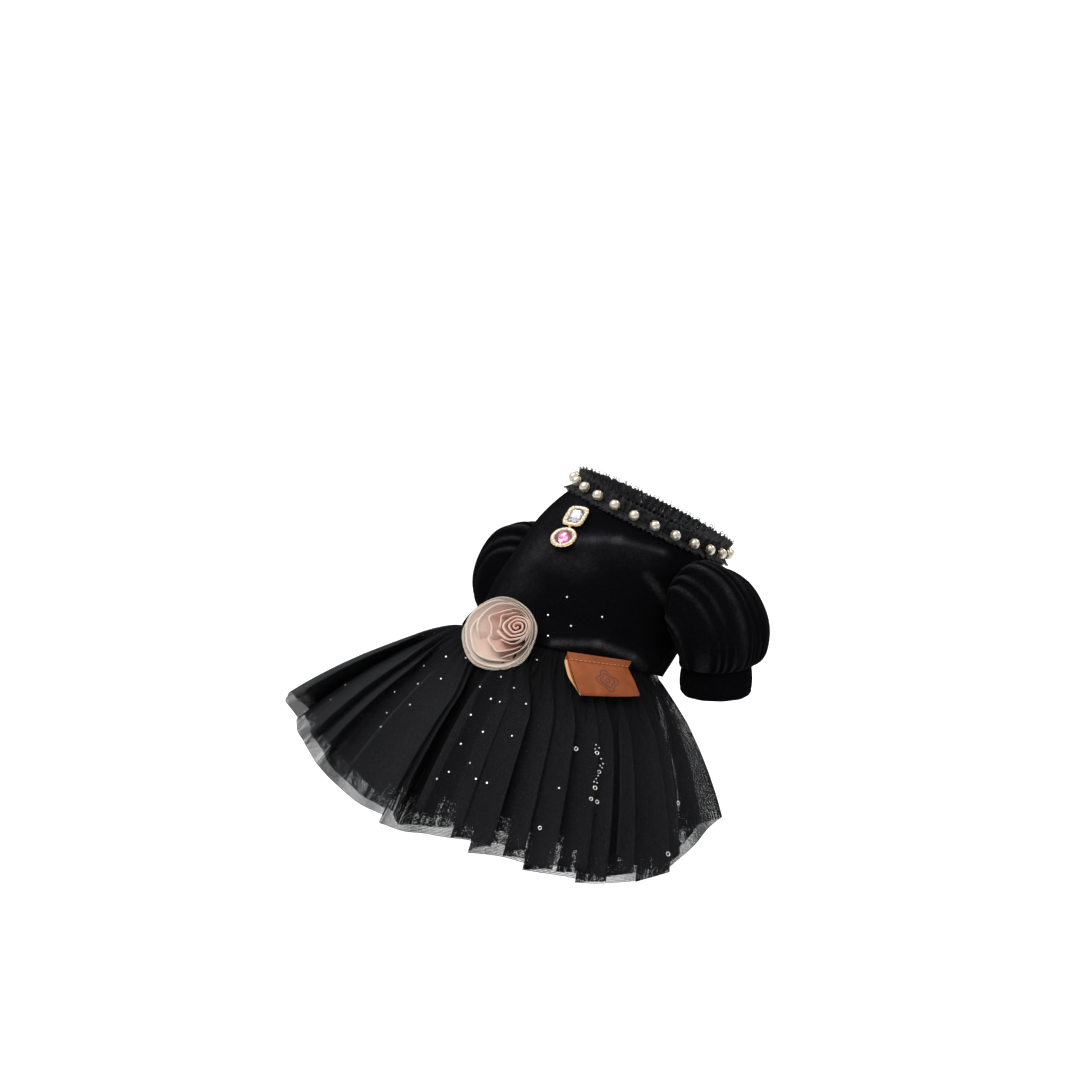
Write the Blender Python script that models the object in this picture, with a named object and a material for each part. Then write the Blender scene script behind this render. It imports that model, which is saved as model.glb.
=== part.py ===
"""A small velvet dress with puff sleeves, a lace collar set with pearls, a stone brooch, an organza rose,
a leather tag and a skirt of three tulle layers, held in its worn form. Metres, +Z up, +Y towards the neck
and chest, +X the wearer's right. The origin lies on the body's axis, inside the bodice."""

from math import cos, pi, radians, sin, sqrt

import bmesh
import bpy
import numpy as np
from mathutils import Matrix, Vector

# Body that the dress is cut for
TORSO_LEAN = radians(45)  # the back line above the floor's plane
BACK_LENGTH = 0.136  # neck seam to waist seam, along the back
CHEST_WIDTH = 0.152
CHEST_DEPTH = 0.164
SEAT_RISE = 0.095  # the origin's height above the waist seam, along the back line

# Cloth
VELVET = 0.0015
SLEEVE_CLOTH = 0.0012
CUFF_CLOTH = 0.0020
LACE = 0.0010
TULLE = 0.0010
ORGANZA = 0.0010
LEATHER = 0.0016
SEAM_GAP = 0.0003  # left between pieces that are sewn together
SHARP_EDGE = radians(50)  # a bend sharper than this is shaded as an edge

# Sleeves
ARMHOLE_HEIGHT = 0.054
ARMHOLE_WIDTH = 0.050
SLEEVE_FORWARD = 0.014  # armhole's centre ahead of the origin
SLEEVE_DROP = 0.007  # armhole's centre below the origin
PUFF_REACH = 0.081  # from the armpit to the puff's furthest point
PUFF_WIDTH = 0.072
PUFF_PLEATS = 11
PLEAT_DEPTH = 0.0022
CUFF_DIAMETER = 0.052
CUFF_HEIGHT = 0.022
ARMPIT_OUT = 0.004  # from the armpit to the cuff's inner side
ARMPIT_DROP = 0.013  # from the armhole's lowest point to the armpit

# Collar and pearls
LACE_BELOW = 0.007  # lace below the neck seam
LACE_ABOVE = 0.010  # lace above it
RUFFLE_DEPTH = 0.0022
LOW_RUFFLE = 1.6  # shares of RUFFLE_DEPTH at the lace's two edges
HIGH_RUFFLE = 1.8
PEARL_COUNT = 24
PEARL_DIAMETER = 0.008
PEARL_RAISE = 0.2  # share of LACE_ABOVE by which the pearls sit above the neck seam

# Brooch
TOP_LENGTH = 0.0200
TOP_WIDTH = 0.0165
TOP_SQUARENESS = 1.9  # 1 is an ellipse, and more fills the corners
TOP_FACETS = 8
DROP_FACETS = 12
DROP_DIAMETER = 0.0195
SETTING_HEIGHT = 0.0024
HALO_WIDTH = 0.0028
HALO_STONES = 20
STONE_RISE = 0.0036  # a main stone's table above the setting's back
EYE_RADIUS = 0.0008
EYE_WIRE = 0.0005
EYE_REACH = 0.4  # share of EYE_RADIUS by which an eye's middle stands off its setting
EYE_LEVEL = 0.62  # share of SETTING_HEIGHT
LINK_RADIUS = 0.0012
LINK_WIRE = 0.00044
BROOCH_SHARE = 0.80  # of the back length, to the upper stone's middle
BROOCH_ANGLE = radians(6)  # towards the near side
BROOCH_SWING = radians(12)  # how far the drop hangs towards the near side
BROOCH_LIFT = 0.0004

# Rose
ROSE_DIAMETER = 0.058
ROSE_HEIGHT = 0.027
ROSE_BACK_DIAMETER = 0.018
ROSE_BACK_HEIGHT = 0.0042
ROSE_TURNS = 4.5
ROSE_HEART = (0.0, 0.44)  # shares of the winding, with a small gap between heart and petals
ROSE_PETALS = (0.47, 1.0)
ROSE_FOOT = (0.12, 0.88)  # shares of the back's radius, at the heart and at the outermost edge
ROSE_EDGE = (0.09, 1.0)  # shares of the rose's radius
ROSE_OPENING = 1.7  # how soon the petals lean out
ROSE_DROP = 0.58  # how far the outermost edge stands below the heart
ROSE_WAVES = 5  # waves of the edge in a turn
ROSE_WAVE = 0.035  # share of the radius
ROSE_SHARE = 0.02  # of the back length, to the rose's middle
ROSE_ANGLE = radians(9)  # towards the near side
ROSE_TURNED = radians(18)  # the heart turned towards the near side
ROSE_NODDING = radians(12)  # and down

# Leather tag
TAG_WIDTH = 0.047
TAG_LENGTH = 0.029
TAG_STRIP = 0.006
TAG_OPENING = 0.0035
TAG_ABOVE = 0.55  # share of the strip above the waist seam
TAG_SLOPE = 0.58  # how far the tag leans out over the skirt, as a sine
TAG_ANGLE = radians(59)
TAG_SWING = radians(10)  # how far its lower edge hangs towards the belly

# Skirt
SKIRT_LENGTH = 0.150
SKIRT_SPREAD = radians(112)  # either side of the centre back
SKIRT_FOLDS = 12
FOLD_DEPTH = 0.013
FOLD_SLOPE = 0.15  # a fold's height on its slopes, as a share of its crest's
FOLD_VARIATION = 0.35  # how unlike the folds' depths are
FOLD_RHYTHM = 2.3  # deep and shallow folds take turns at this rate round the waist
HEM_CORNERS = (0.012, 0.010, 0.0)  # how far the crests of each layer's hem stand out, outer layer first
SKIRT_CURL = radians(22)  # how much flatter the cloth leaves the seam than it ends
LAYER_GAP = 0.0060  # between two layers at the hem
INNER_SHARE = 0.80  # of the outer layer's length
MIDDLE_SHARE = 0.92

# How finely the round forms are cut
BODICE_COLUMNS = 36
BODICE_ROWS = 9
POINTS_PER_FOLD = 4
POINTS_PER_RUFFLE = 3
CUFF_COLUMNS = 20
PEARL_SIDES = 10
PEARL_RINGS = 4
WIRE_SIDES = 5
RING_SIDES = 10
ROSE_TURN_COLUMNS = 16
ROSE_BACK_COLUMNS = 16
TAG_COLUMNS = 6

# Sections of the bodice from the waist seam to the neck seam. Along the back and the belly: shares of
# BACK_LENGTH. Depths: shares of half of CHEST_DEPTH. Width: share of half of CHEST_WIDTH. Roll: degrees,
# near side down.
SECTIONS = (
    # back_along, back_depth, belly_along, belly_depth, width, roll
    (0.00, 0.93, 0.45, -0.86, 1.00, 0.0),
    (0.13, 0.90, 0.58, -0.93, 0.955, 0.0),
    (0.33, 0.92, 0.74, -1.00, 0.915, 0.0),
    (0.55, 0.92, 0.91, -1.05, 0.905, 1.0),
    (0.73, 0.89, 1.08, -1.07, 0.890, 4.0),
    (0.88, 0.81, 1.25, -1.05, 0.830, 10.0),
    (1.00, 0.72, 1.385, -0.97, 0.740, 16.0),
)

# Soft ridges and creases of the bodice: from one (angle, share of the back) to another, half-width as an
# angle, height as a share of BACK_LENGTH, below zero for a crease
BODICE_FOLDS = (
    # from_deg, from_share, to_deg, to_share, half_deg, height
    (18.0, 0.075, 100.0, 0.075, 7.0, 0.030),
    (24.0, 0.17, 96.0, 0.15, 6.0, -0.012),
    (-90.0, 0.08, -20.0, 0.08, 7.0, 0.018),
    (12.0, 0.66, 52.0, 0.74, 8.0, 0.016),
    (34.0, 0.50, 72.0, 0.22, 8.0, -0.014),
    (20.0, 0.40, 58.0, 0.20, 9.0, 0.012),
    (-60.0, 0.45, -25.0, 0.22, 9.0, 0.010),
    (140.0, 0.30, 215.0, 0.34, 10.0, 0.010),
)

# The puff from the armhole to the cuff, in planes that turn about the armpit. Inner, outer: shares of
# PUFF_REACH. Side: share of half of PUFF_WIDTH. Pleat: share of PLEAT_DEPTH.
PUFF_PLANES = (
    # turn_deg, inner, outer, side, pleat
    (77.0, 0.130, 0.960, 0.88, 1.00),
    (56.0, 0.090, 1.000, 0.98, 0.75),
    (34.0, 0.075, 0.960, 1.00, 0.45),
    (16.0, 0.060, 0.880, 0.96, 0.60),
    (6.0, 0.050, 0.800, 0.88, 0.80),
)

# How the skirt falls round the waist. Angle: share of SKIRT_SPREAD, from the far side's end to the near
# side's. Flare: degrees off the waist's own axis. Length: share of SKIRT_LENGTH.
SKIRT_FALL = (
    # angle, flare, length
    (-1.00, 42.0, 0.86),
    (-0.75, 48.0, 0.94),
    (-0.44, 51.0, 0.94),
    (-0.22, 40.0, 1.02),
    (0.00, 27.0, 1.09),
    (0.25, 21.0, 1.05),
    (0.52, 24.0, 1.04),
    (0.78, 27.0, 1.00),
    (1.00, 31.0, 0.84),
)

COLOURS = {
    # name: (red, green, blue, roughness, metallic)
    "velvet": (0.008, 0.008, 0.010, 0.85, 0.0),
    "lace": (0.012, 0.012, 0.013, 0.80, 0.0),
    "tulle": (0.020, 0.020, 0.022, 0.75, 0.0),
    "organza": (0.850, 0.560, 0.480, 0.50, 0.0),
    "leather": (0.420, 0.130, 0.040, 0.45, 0.0),
    "gold": (0.780, 0.550, 0.230, 0.25, 1.0),
    "pearl": (0.860, 0.830, 0.780, 0.15, 0.0),
    "clear_stone": (0.900, 0.920, 0.950, 0.05, 0.0),
    "pink_stone": (0.720, 0.160, 0.360, 0.05, 0.0),
}

ALONG = np.array((0.0, cos(TORSO_LEAN), sin(TORSO_LEAN)))
BACK = np.array((0.0, -sin(TORSO_LEAN), cos(TORSO_LEAN)))
RIGHT = np.array((1.0, 0.0, 0.0))


def clear_scene():
    for old in list(bpy.data.objects):
        bpy.data.objects.remove(old)


def material(name):
    found = bpy.data.materials.get(name)
    if found:
        return found
    red, green, blue, roughness, metallic = COLOURS[name]
    made = bpy.data.materials.new(name)
    made.use_nodes = True
    shader = made.node_tree.nodes["Principled BSDF"]
    shader.inputs["Base Color"].default_value = (red, green, blue, 1.0)
    shader.inputs["Roughness"].default_value = roughness
    shader.inputs["Metallic"].default_value = metallic
    return made


def add_mesh(name, points, faces, material_name):
    """One closed body as an object, with its faces turned outwards."""
    body = bmesh.new()
    corners = [body.verts.new(Vector(point)) for point in points]
    for face in faces:
        body.faces.new([corners[index] for index in face])
    bmesh.ops.recalc_face_normals(body, faces=body.faces)
    mesh = bpy.data.meshes.new(name)
    body.to_mesh(mesh)
    body.free()
    mesh.shade_smooth()
    mesh.set_sharp_from_angle(angle=SHARP_EDGE)
    mesh.materials.append(material(material_name))
    made = bpy.data.objects.new(name, mesh)
    bpy.context.collection.objects.link(made)
    return made


def wall(name, outer, inner, wraps, material_name):
    """The cloth between two grids of points, rows by columns, closed round its rim."""
    rows, columns = outer.shape[:2]
    points = np.concatenate([outer.reshape(-1, 3), inner.reshape(-1, 3)])
    under = rows * columns
    spans = columns if wraps else columns - 1
    faces = []
    for row in range(rows - 1):
        for column in range(spans):
            beside = (column + 1) % columns
            low, high = row * columns, (row + 1) * columns
            faces.append((low + column, low + beside, high + beside, high + column))
            under_low, under_high = under + low, under + high
            faces.append((under_low + column, under_high + column, under_high + beside, under_low + beside))
    for column in range(spans):
        beside = (column + 1) % columns
        last = (rows - 1) * columns
        faces.append((column, under + column, under + beside, beside))
        faces.append((last + column, last + beside, under + last + beside, under + last + column))
    if not wraps:
        for row in range(rows - 1):
            low, high = row * columns, (row + 1) * columns
            faces.append((low, high, under + high, under + low))
            end = columns - 1
            faces.append((low + end, under + low + end, under + high + end, high + end))
    return add_mesh(name, points, faces, material_name)


def smooth(keys, values, at):
    """Values at a place between the keys, on a smooth curve through the table's rows."""
    keys = np.asarray(keys, float)
    values = np.asarray(values, float)
    slopes = np.gradient(values, keys, axis=0)
    at = min(max(at, keys[0]), keys[-1])
    low = min(int(np.searchsorted(keys, at, side="right")) - 1, len(keys) - 2)
    span = keys[low + 1] - keys[low]
    part = (at - keys[low]) / span
    return (
        values[low] * (2 * part**3 - 3 * part**2 + 1)
        + values[low + 1] * (3 * part**2 - 2 * part**3)
        + slopes[low] * span * (part**3 - 2 * part**2 + part)
        + slopes[low + 1] * span * (part**3 - part**2)
    )


def in_body(along, depth):
    return (along - SEAT_RISE) * ALONG + depth * BACK


SECTION_KEYS = [row[0] for row in SECTIONS]
SECTION_VALUES = [row[1:] for row in SECTIONS]


def section(share):
    """Centre, half-width vector and half-depth vector of the bodice at a share of the back length."""
    back_depth, belly_along, belly_depth, width, roll = smooth(SECTION_KEYS, SECTION_VALUES, share)
    back = in_body(share * BACK_LENGTH, back_depth * CHEST_DEPTH / 2)
    belly = in_body(belly_along * BACK_LENGTH, belly_depth * CHEST_DEPTH / 2)
    sideways = cos(radians(roll)) * RIGHT - sin(radians(roll)) * ALONG
    return (back + belly) / 2, width * CHEST_WIDTH / 2 * sideways, (back - belly) / 2


def fold_height(angle, share):
    """How far the folds lift the bodice's cloth at this place."""
    height = 0.0
    for from_deg, from_share, to_deg, to_share, half_deg, rise in BODICE_FOLDS:
        degrees = (np.degrees(angle) - from_deg + 120) % 360 - 120 + from_deg
        scale = BACK_LENGTH / radians(1) / (CHEST_DEPTH / 2)
        line = np.array((to_deg - from_deg, (to_share - from_share) * scale))
        place = np.array((degrees - from_deg, (share - from_share) * scale))
        along = min(max(place @ line / (line @ line), 0.0), 1.0)
        away = np.linalg.norm(place - along * line) / half_deg
        height += rise * BACK_LENGTH * np.exp(-away * away)
    return height


def bodice_point(angle, share, lift=0.0):
    """A point on the bodice, lifted off its outer face in the section's plane. Angle 0 is the centre back."""
    centre, sideways, backwards = section(share)
    lift = lift + fold_height(angle, share)
    half_width = np.linalg.norm(sideways)
    half_depth = np.linalg.norm(backwards)
    return (
        centre
        + sideways * (1 + lift / half_width) * sin(angle)
        + backwards * (1 + lift / half_depth) * cos(angle)
    )


def bodice_frame(angle, share):
    """Point, across, down and outward directions on the bodice."""
    step = 0.01
    across = bodice_point(angle + step, share) - bodice_point(angle - step, share)
    low, high = max(share - step, 0.0), min(share + step, 1.0)
    down = bodice_point(angle, low) - bodice_point(angle, high)
    across /= np.linalg.norm(across)
    down -= (down @ across) * across
    down /= np.linalg.norm(down)
    return bodice_point(angle, share), across, down, np.cross(across, -down)


def flank_point(side, forward, height):
    """The point of the bodice's side with this y and z, by Newton's method."""
    place = np.array((side * pi / 2, 0.6))
    step = 1e-4
    for _ in range(20):
        at = bodice_point(*place)
        miss = np.array((forward, height)) - at[1:]
        by_angle = (bodice_point(place[0] + step, place[1]) - at)[1:] / step
        by_share = (bodice_point(place[0], place[1] + step) - at)[1:] / step
        place = place + np.linalg.solve(np.column_stack([by_angle, by_share]), miss)
        place[1] = min(max(place[1], 0.05), 0.98)
    return bodice_point(*place)


def armhole_ring(side, columns, scale=1.0):
    """Points round the armhole on the bodice's side, starting at the top and going forward."""
    ring = []
    for column in range(columns):
        turn = 2 * pi * column / columns
        forward = SLEEVE_FORWARD + scale * ARMHOLE_WIDTH / 2 * sin(turn)
        height = -SLEEVE_DROP + scale * ARMHOLE_HEIGHT / 2 * cos(turn)
        ring.append(flank_point(side, forward, height))
    return np.array(ring)


def armpit():
    """The line about which a sleeve turns from the armhole to the cuff: its x and z on the right side."""
    low = flank_point(1, SLEEVE_FORWARD, -SLEEVE_DROP - ARMHOLE_HEIGHT / 2)
    return low[0] + ARMPIT_OUT, low[2] - ARMPIT_DROP


def make_bodice():
    shares = np.linspace(0.0, 1.0, BODICE_ROWS + 1)
    angles = np.linspace(0.0, 2 * pi, BODICE_COLUMNS, endpoint=False)
    outer = np.array([[bodice_point(angle, share) for angle in angles] for share in shares])
    inner = np.array([[bodice_point(angle, share, -VELVET) for angle in angles] for share in shares])
    bodice = wall("bodice", outer, inner, True, "velvet")
    for side, name in ((-1, "left"), (1, "right")):
        ring = armhole_ring(side, CUFF_COLUMNS)
        near, far = ring.copy(), ring.copy()
        near[:, 0] -= side * CHEST_WIDTH / 4
        far[:, 0] += side * CHEST_WIDTH / 4
        cutter = plug("armhole_cutter_" + name, near, far)
        cut = bodice.modifiers.new("armhole_" + name, "BOOLEAN")
        cut.operation = "DIFFERENCE"
        cut.object = cutter
    return bodice


def plug(name, near, far):
    """A closed cutter between two rings, hidden from the result."""
    count = len(near)
    points = np.concatenate([near, far])
    faces = [tuple(range(count)), tuple(range(2 * count - 1, count - 1, -1))]
    for index in range(count):
        beside = (index + 1) % count
        faces.append((index, count + index, count + beside, beside))
    cutter = add_mesh(name, points, faces, "velvet")
    cutter.hide_render = True
    cutter.display_type = "WIRE"
    return cutter


def puff_ring(turn_deg, inner, outer, side_half, pleat, inset):
    """One ring of the right sleeve in a plane through the armpit line."""
    pit_x, pit_z = armpit()
    columns = PUFF_PLEATS * POINTS_PER_FOLD
    direction = np.array((cos(radians(turn_deg)), 0.0, sin(radians(turn_deg))))
    middle = np.array((pit_x, SLEEVE_FORWARD, pit_z)) + (inner + outer) / 2 * direction
    ring = []
    for column in range(columns):
        around = 2 * pi * column / columns
        wave = pleat * PLEAT_DEPTH * cos(2 * pi * column / POINTS_PER_FOLD)
        reach = (outer - inner) / 2 + wave - inset
        width = side_half + wave - inset
        forward = np.array((0.0, width * sin(around), 0.0))
        ring.append(middle + reach * cos(around) * direction + forward)
    return np.array(ring)


def puff_rings(side, inset):
    """A sleeve's rings from the armhole to the cuff."""
    first = armhole_ring(side, PUFF_PLEATS * POINTS_PER_FOLD, 1 - 2 * inset / ARMHOLE_HEIGHT)
    first[:, 0] += side * (SEAM_GAP + SLEEVE_CLOTH / 2)
    rings = []
    for turn_deg, inner, outer, side_share, pleat in PUFF_PLANES:
        side_half = side_share * PUFF_WIDTH / 2
        rings.append(puff_ring(turn_deg, inner * PUFF_REACH, outer * PUFF_REACH, side_half, pleat, inset))
    rings.append(puff_ring(0.0, ARMPIT_OUT, ARMPIT_OUT + CUFF_DIAMETER, CUFF_DIAMETER / 2, 0.0, inset))
    turned = np.array(rings)
    turned[..., 0] *= side
    return np.concatenate([first[None], turned])


def make_sleeve(side, name):
    return wall("sleeve_puff_" + name, puff_rings(side, 0.0), puff_rings(side, SLEEVE_CLOTH), True, "velvet")


def make_cuff(side, name):
    pit_x, pit_z = armpit()
    centre_x = pit_x + ARMPIT_OUT + CUFF_DIAMETER / 2
    bulge = CUFF_CLOTH / 2
    levels = (
        # share of the height, swell
        (0.0, 0.0),
        (0.5, bulge),
        (1.0, -bulge / 2),
    )
    grids = []
    for inset in (0.0, CUFF_CLOTH):
        rows = []
        for share, swell in levels:
            radius = CUFF_DIAMETER / 2 + swell - inset
            height = pit_z - SEAM_GAP - share * CUFF_HEIGHT
            row = []
            for column in range(CUFF_COLUMNS):
                around = 2 * pi * column / CUFF_COLUMNS
                x = centre_x + radius * cos(around)
                row.append((side * x, SLEEVE_FORWARD + radius * sin(around), height))
            rows.append(row)
        grids.append(np.array(rows))
    return wall("cuff_" + name, grids[0], grids[1], True, "velvet")


def neck_axis():
    """The way out of the neck opening, square to the neck seam's plane."""
    _, sideways, backwards = section(1.0)
    axis = np.cross(backwards, sideways)
    axis /= np.linalg.norm(axis)
    return axis if axis @ ALONG > 0 else -axis


def make_collar():
    """A band of lace over the neck seam, ruffled at both edges. Its ruffles dip where the pearls sit."""
    columns = PEARL_COUNT * POINTS_PER_RUFFLE
    low_share = 1.0 - LACE_BELOW / BACK_LENGTH
    grids = []
    for face in (LACE, 0.0):
        rows = [[], [], []]
        for column in range(columns):
            angle = 2 * pi * (column + 0.5) / columns
            swell = (1 + cos(angle * PEARL_COUNT)) / 2 * RUFFLE_DEPTH
            lift = SEAM_GAP + face
            rows[0].append(bodice_point(angle, low_share, lift + LOW_RUFFLE * swell))
            rows[1].append(bodice_point(angle, 1.0, lift))
            edge = bodice_point(angle, 1.0, lift + RUFFLE_DEPTH / 4 + HIGH_RUFFLE * swell)
            rows[2].append(edge + LACE_ABOVE * neck_axis())
        grids.append(np.array(rows))
    return wall("collar_lace", grids[0], grids[1], True, "lace")


def make_pearls():
    for index in range(PEARL_COUNT):
        angle = 2 * pi * (index + 0.5) / PEARL_COUNT
        lift = SEAM_GAP + LACE + 2 * SEAM_GAP + PEARL_DIAMETER / 2
        place = bodice_point(angle, 1.0, lift) + PEARL_RAISE * LACE_ABOVE * neck_axis()
        mesh = bpy.data.meshes.new("pearl")
        body = bmesh.new()
        bmesh.ops.create_uvsphere(
            body, u_segments=PEARL_SIDES, v_segments=PEARL_RINGS, radius=PEARL_DIAMETER / 2
        )
        body.to_mesh(mesh)
        body.free()
        mesh.shade_smooth()
        mesh.materials.append(material("pearl"))
        pearl = bpy.data.objects.new(f"pearl_{index + 1:02d}", mesh)
        pearl.location = place
        bpy.context.collection.objects.link(pearl)


def outline(half_across, half_down, angle, squareness):
    """A point of a rounded outline: 1 is an ellipse, and a larger squareness fills its corners."""
    across, down = cos(angle), sin(angle)
    reach = (abs(across) ** (2 * squareness) + abs(down) ** (2 * squareness)) ** (-1 / (2 * squareness))
    return half_across * reach * across, half_down * reach * down


def stack(name, rings, frame, material_name):
    """A closed body through flat rings given in a frame, ended by the middle points of the first and last."""
    origin, across, down, out = frame
    count = len(rings[0])
    flat = np.array(rings)
    ends = np.array([flat[0].mean(axis=0), flat[-1].mean(axis=0)])
    local = np.concatenate([flat.reshape(-1, 3), ends])
    points = origin + local[:, :1] * across + local[:, 1:2] * down + local[:, 2:] * out
    first, last = len(local) - 2, len(local) - 1
    top = (len(rings) - 1) * count
    faces = []
    for index in range(count):
        beside = (index + 1) % count
        faces.append((first, beside, index))
        faces.append((last, top + index, top + beside))
        for ring in range(len(rings) - 1):
            low, high = ring * count, (ring + 1) * count
            faces.append((low + index, low + beside, high + beside, high + index))
    return add_mesh(name, points, faces, material_name)


def setting_rings(half_across, half_down, squareness):
    """A tray with a scalloped border, one swelling for each small stone of its halo."""
    columns = 2 * HALO_STONES
    floor = SETTING_HEIGHT / 3
    levels = (
        # inset, height, swell
        (HALO_WIDTH / 4, 0.0, 0.0),
        (0.0, floor, 1.0),
        (HALO_WIDTH / 5, SETTING_HEIGHT, 1.0),
        (HALO_WIDTH * 0.8, SETTING_HEIGHT, -1.0),
        (HALO_WIDTH, floor, 0.0),
    )
    rings = []
    for inset, height, swell in levels:
        ring = []
        for column in range(columns):
            angle = 2 * pi * column / columns
            bump = swell * (column % 2) * HALO_WIDTH / 8
            x, y = outline(half_across - inset - bump, half_down - inset - bump, angle, squareness)
            lower = (column % 2) * SETTING_HEIGHT / 6 if height == SETTING_HEIGHT else 0.0
            ring.append((x, y, height - lower))
        rings.append(ring)
    return rings


def stone_rings(half_across, half_down, squareness, sides):
    """A cut stone: point below, girdle, crown facets and a flat table."""
    levels = (
        # share of the girdle, height
        (0.30, SETTING_HEIGHT / 3 + SEAM_GAP),
        (1.00, SETTING_HEIGHT * 0.85),
        (0.86, SETTING_HEIGHT * 1.15),
        (0.56, STONE_RISE),
    )
    turned = 2
    rings = []
    for row, (share, height) in enumerate(levels):
        ring = []
        for side in range(sides):
            angle = 2 * pi * (side + (0.5 if row == turned else 0.0)) / sides
            x, y = outline(half_across * share, half_down * share, angle, squareness)
            ring.append((x, y, height))
        rings.append(ring)
    return rings


def wire_ring(name, centre, axis, radius, wire, material_name):
    """A closed ring of wire about an axis."""
    axis = axis / np.linalg.norm(axis)
    first = np.cross(axis, ALONG if abs(axis @ ALONG) < 0.9 else RIGHT)
    first /= np.linalg.norm(first)
    second = np.cross(axis, first)
    points, faces = [], []
    for turn in range(RING_SIDES):
        angle = 2 * pi * turn / RING_SIDES
        out = cos(angle) * first + sin(angle) * second
        for side in range(WIRE_SIDES):
            tilt = 2 * pi * side / WIRE_SIDES
            points.append(centre + out * (radius + wire / 2 * cos(tilt)) + axis * wire / 2 * sin(tilt))
    for turn in range(RING_SIDES):
        beside = (turn + 1) % RING_SIDES
        for side in range(WIRE_SIDES):
            above = (side + 1) % WIRE_SIDES
            faces.append(
                (
                    turn * WIRE_SIDES + side,
                    beside * WIRE_SIDES + side,
                    beside * WIRE_SIDES + above,
                    turn * WIRE_SIDES + above,
                )
            )
    return add_mesh(name, points, faces, material_name)


def solder(body, piece):
    """Joins a hidden piece to a body as one solid."""
    piece.hide_render = True
    piece.display_type = "WIRE"
    join = body.modifiers.new("solder_" + piece.name, "BOOLEAN")
    join.operation = "UNION"
    join.object = piece


def make_brooch():
    """Upper setting, link and drop, one below the other down the centre back."""
    point, across, down, out = bodice_frame(BROOCH_ANGLE, BROOCH_SHARE)
    down = cos(BROOCH_SWING) * down + sin(BROOCH_SWING) * across
    eye_reach = EYE_RADIUS * EYE_REACH
    to_drop = TOP_LENGTH / 2 + 2 * eye_reach + 2 * LINK_RADIUS + DROP_DIAMETER / 2
    end_angle = BROOCH_ANGLE + sin(BROOCH_SWING) * to_drop / (CHEST_WIDTH / 2)
    end_share = BROOCH_SHARE - cos(BROOCH_SWING) * to_drop / BACK_LENGTH
    down = bodice_point(end_angle, end_share) - point
    down /= np.linalg.norm(down)
    out -= (out @ down) * down
    out /= np.linalg.norm(out)
    across = np.cross(down, out)
    # The cloth is round under the flat settings, so they are raised until its highest point clears them.
    highest = 0.0
    for step in np.linspace(0.0, 1.0, 7):
        angle = BROOCH_ANGLE + step * (end_angle - BROOCH_ANGLE)
        cloth = bodice_point(angle, BROOCH_SHARE + step * (end_share - BROOCH_SHARE))
        highest = max(highest, (cloth - point) @ out)
    back_face = point + (highest + BROOCH_LIFT) * out

    top_frame = (back_face, across, down, out)
    drop_frame = (back_face + to_drop * down, across, down, out)
    eye_level = SETTING_HEIGHT * EYE_LEVEL
    top_tray = setting_rings(TOP_WIDTH / 2, TOP_LENGTH / 2, TOP_SQUARENESS)
    top = stack("brooch_setting", top_tray, top_frame, "gold")
    drop_tray = setting_rings(DROP_DIAMETER / 2, DROP_DIAMETER / 2, 1.0)
    drop = stack("drop_setting", drop_tray, drop_frame, "gold")
    top_eye = back_face + (TOP_LENGTH / 2 + eye_reach) * down + eye_level * out
    drop_eye = top_eye + 2 * LINK_RADIUS * down
    solder(top, wire_ring("top_eye", top_eye, out, EYE_RADIUS, EYE_WIRE, "gold"))
    solder(drop, wire_ring("drop_eye", drop_eye, out, EYE_RADIUS, EYE_WIRE, "gold"))
    wire_ring("jump_ring", (top_eye + drop_eye) / 2, across, LINK_RADIUS, LINK_WIRE, "gold")

    room = HALO_WIDTH + SEAM_GAP
    clear_cut = stone_rings(TOP_WIDTH / 2 - room, TOP_LENGTH / 2 - room, TOP_SQUARENESS, TOP_FACETS)
    pink_cut = stone_rings(DROP_DIAMETER / 2 - room, DROP_DIAMETER / 2 - room, 1.0, DROP_FACETS)
    stack("clear_stone", clear_cut, top_frame, "clear_stone")
    stack("pink_stone", pink_cut, drop_frame, "pink_stone")


def rose_frames():
    """The rose's seat on the waist seam, and the turned frame in which its organza is wound."""
    point, across, down, out = bodice_frame(ROSE_ANGLE, ROSE_SHARE)
    seat = point + (SEAM_GAP + VELVET / 4) * out
    turn = Matrix.Rotation(ROSE_TURNED, 3, Vector(-down)) @ Matrix.Rotation(ROSE_NODDING, 3, Vector(across))
    turned = [np.array(turn @ Vector(direction)) for direction in (across, down, out)]
    return (seat, across, down, out), (seat + ROSE_BACK_HEIGHT * out, *turned)


def rose_point(frame, turn_share, rise_share, lift):
    """A point on the wound organza. Turn share: 0 at the heart, 1 at the outermost edge. Rise share: 0 at
    the back."""
    origin, across, down, out = frame
    angle = 2 * pi * ROSE_TURNS * turn_share
    foot = ROSE_BACK_DIAMETER / 2 * np.interp(turn_share, (0.0, 1.0), ROSE_FOOT)
    edge = ROSE_DIAMETER / 2 * np.interp(turn_share, (0.0, 1.0), ROSE_EDGE)
    wave = 1 + ROSE_WAVE * turn_share * cos(ROSE_WAVES * angle)
    radius = foot + (edge * wave - foot) * (1 - (1 - rise_share) ** ROSE_OPENING) + lift
    top = (ROSE_HEIGHT - ROSE_BACK_HEIGHT) * (1 - ROSE_DROP * turn_share * sqrt(turn_share))
    height = SEAM_GAP + top * rise_share
    return origin + radius * (cos(angle) * across + sin(angle) * down) + height * out


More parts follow.
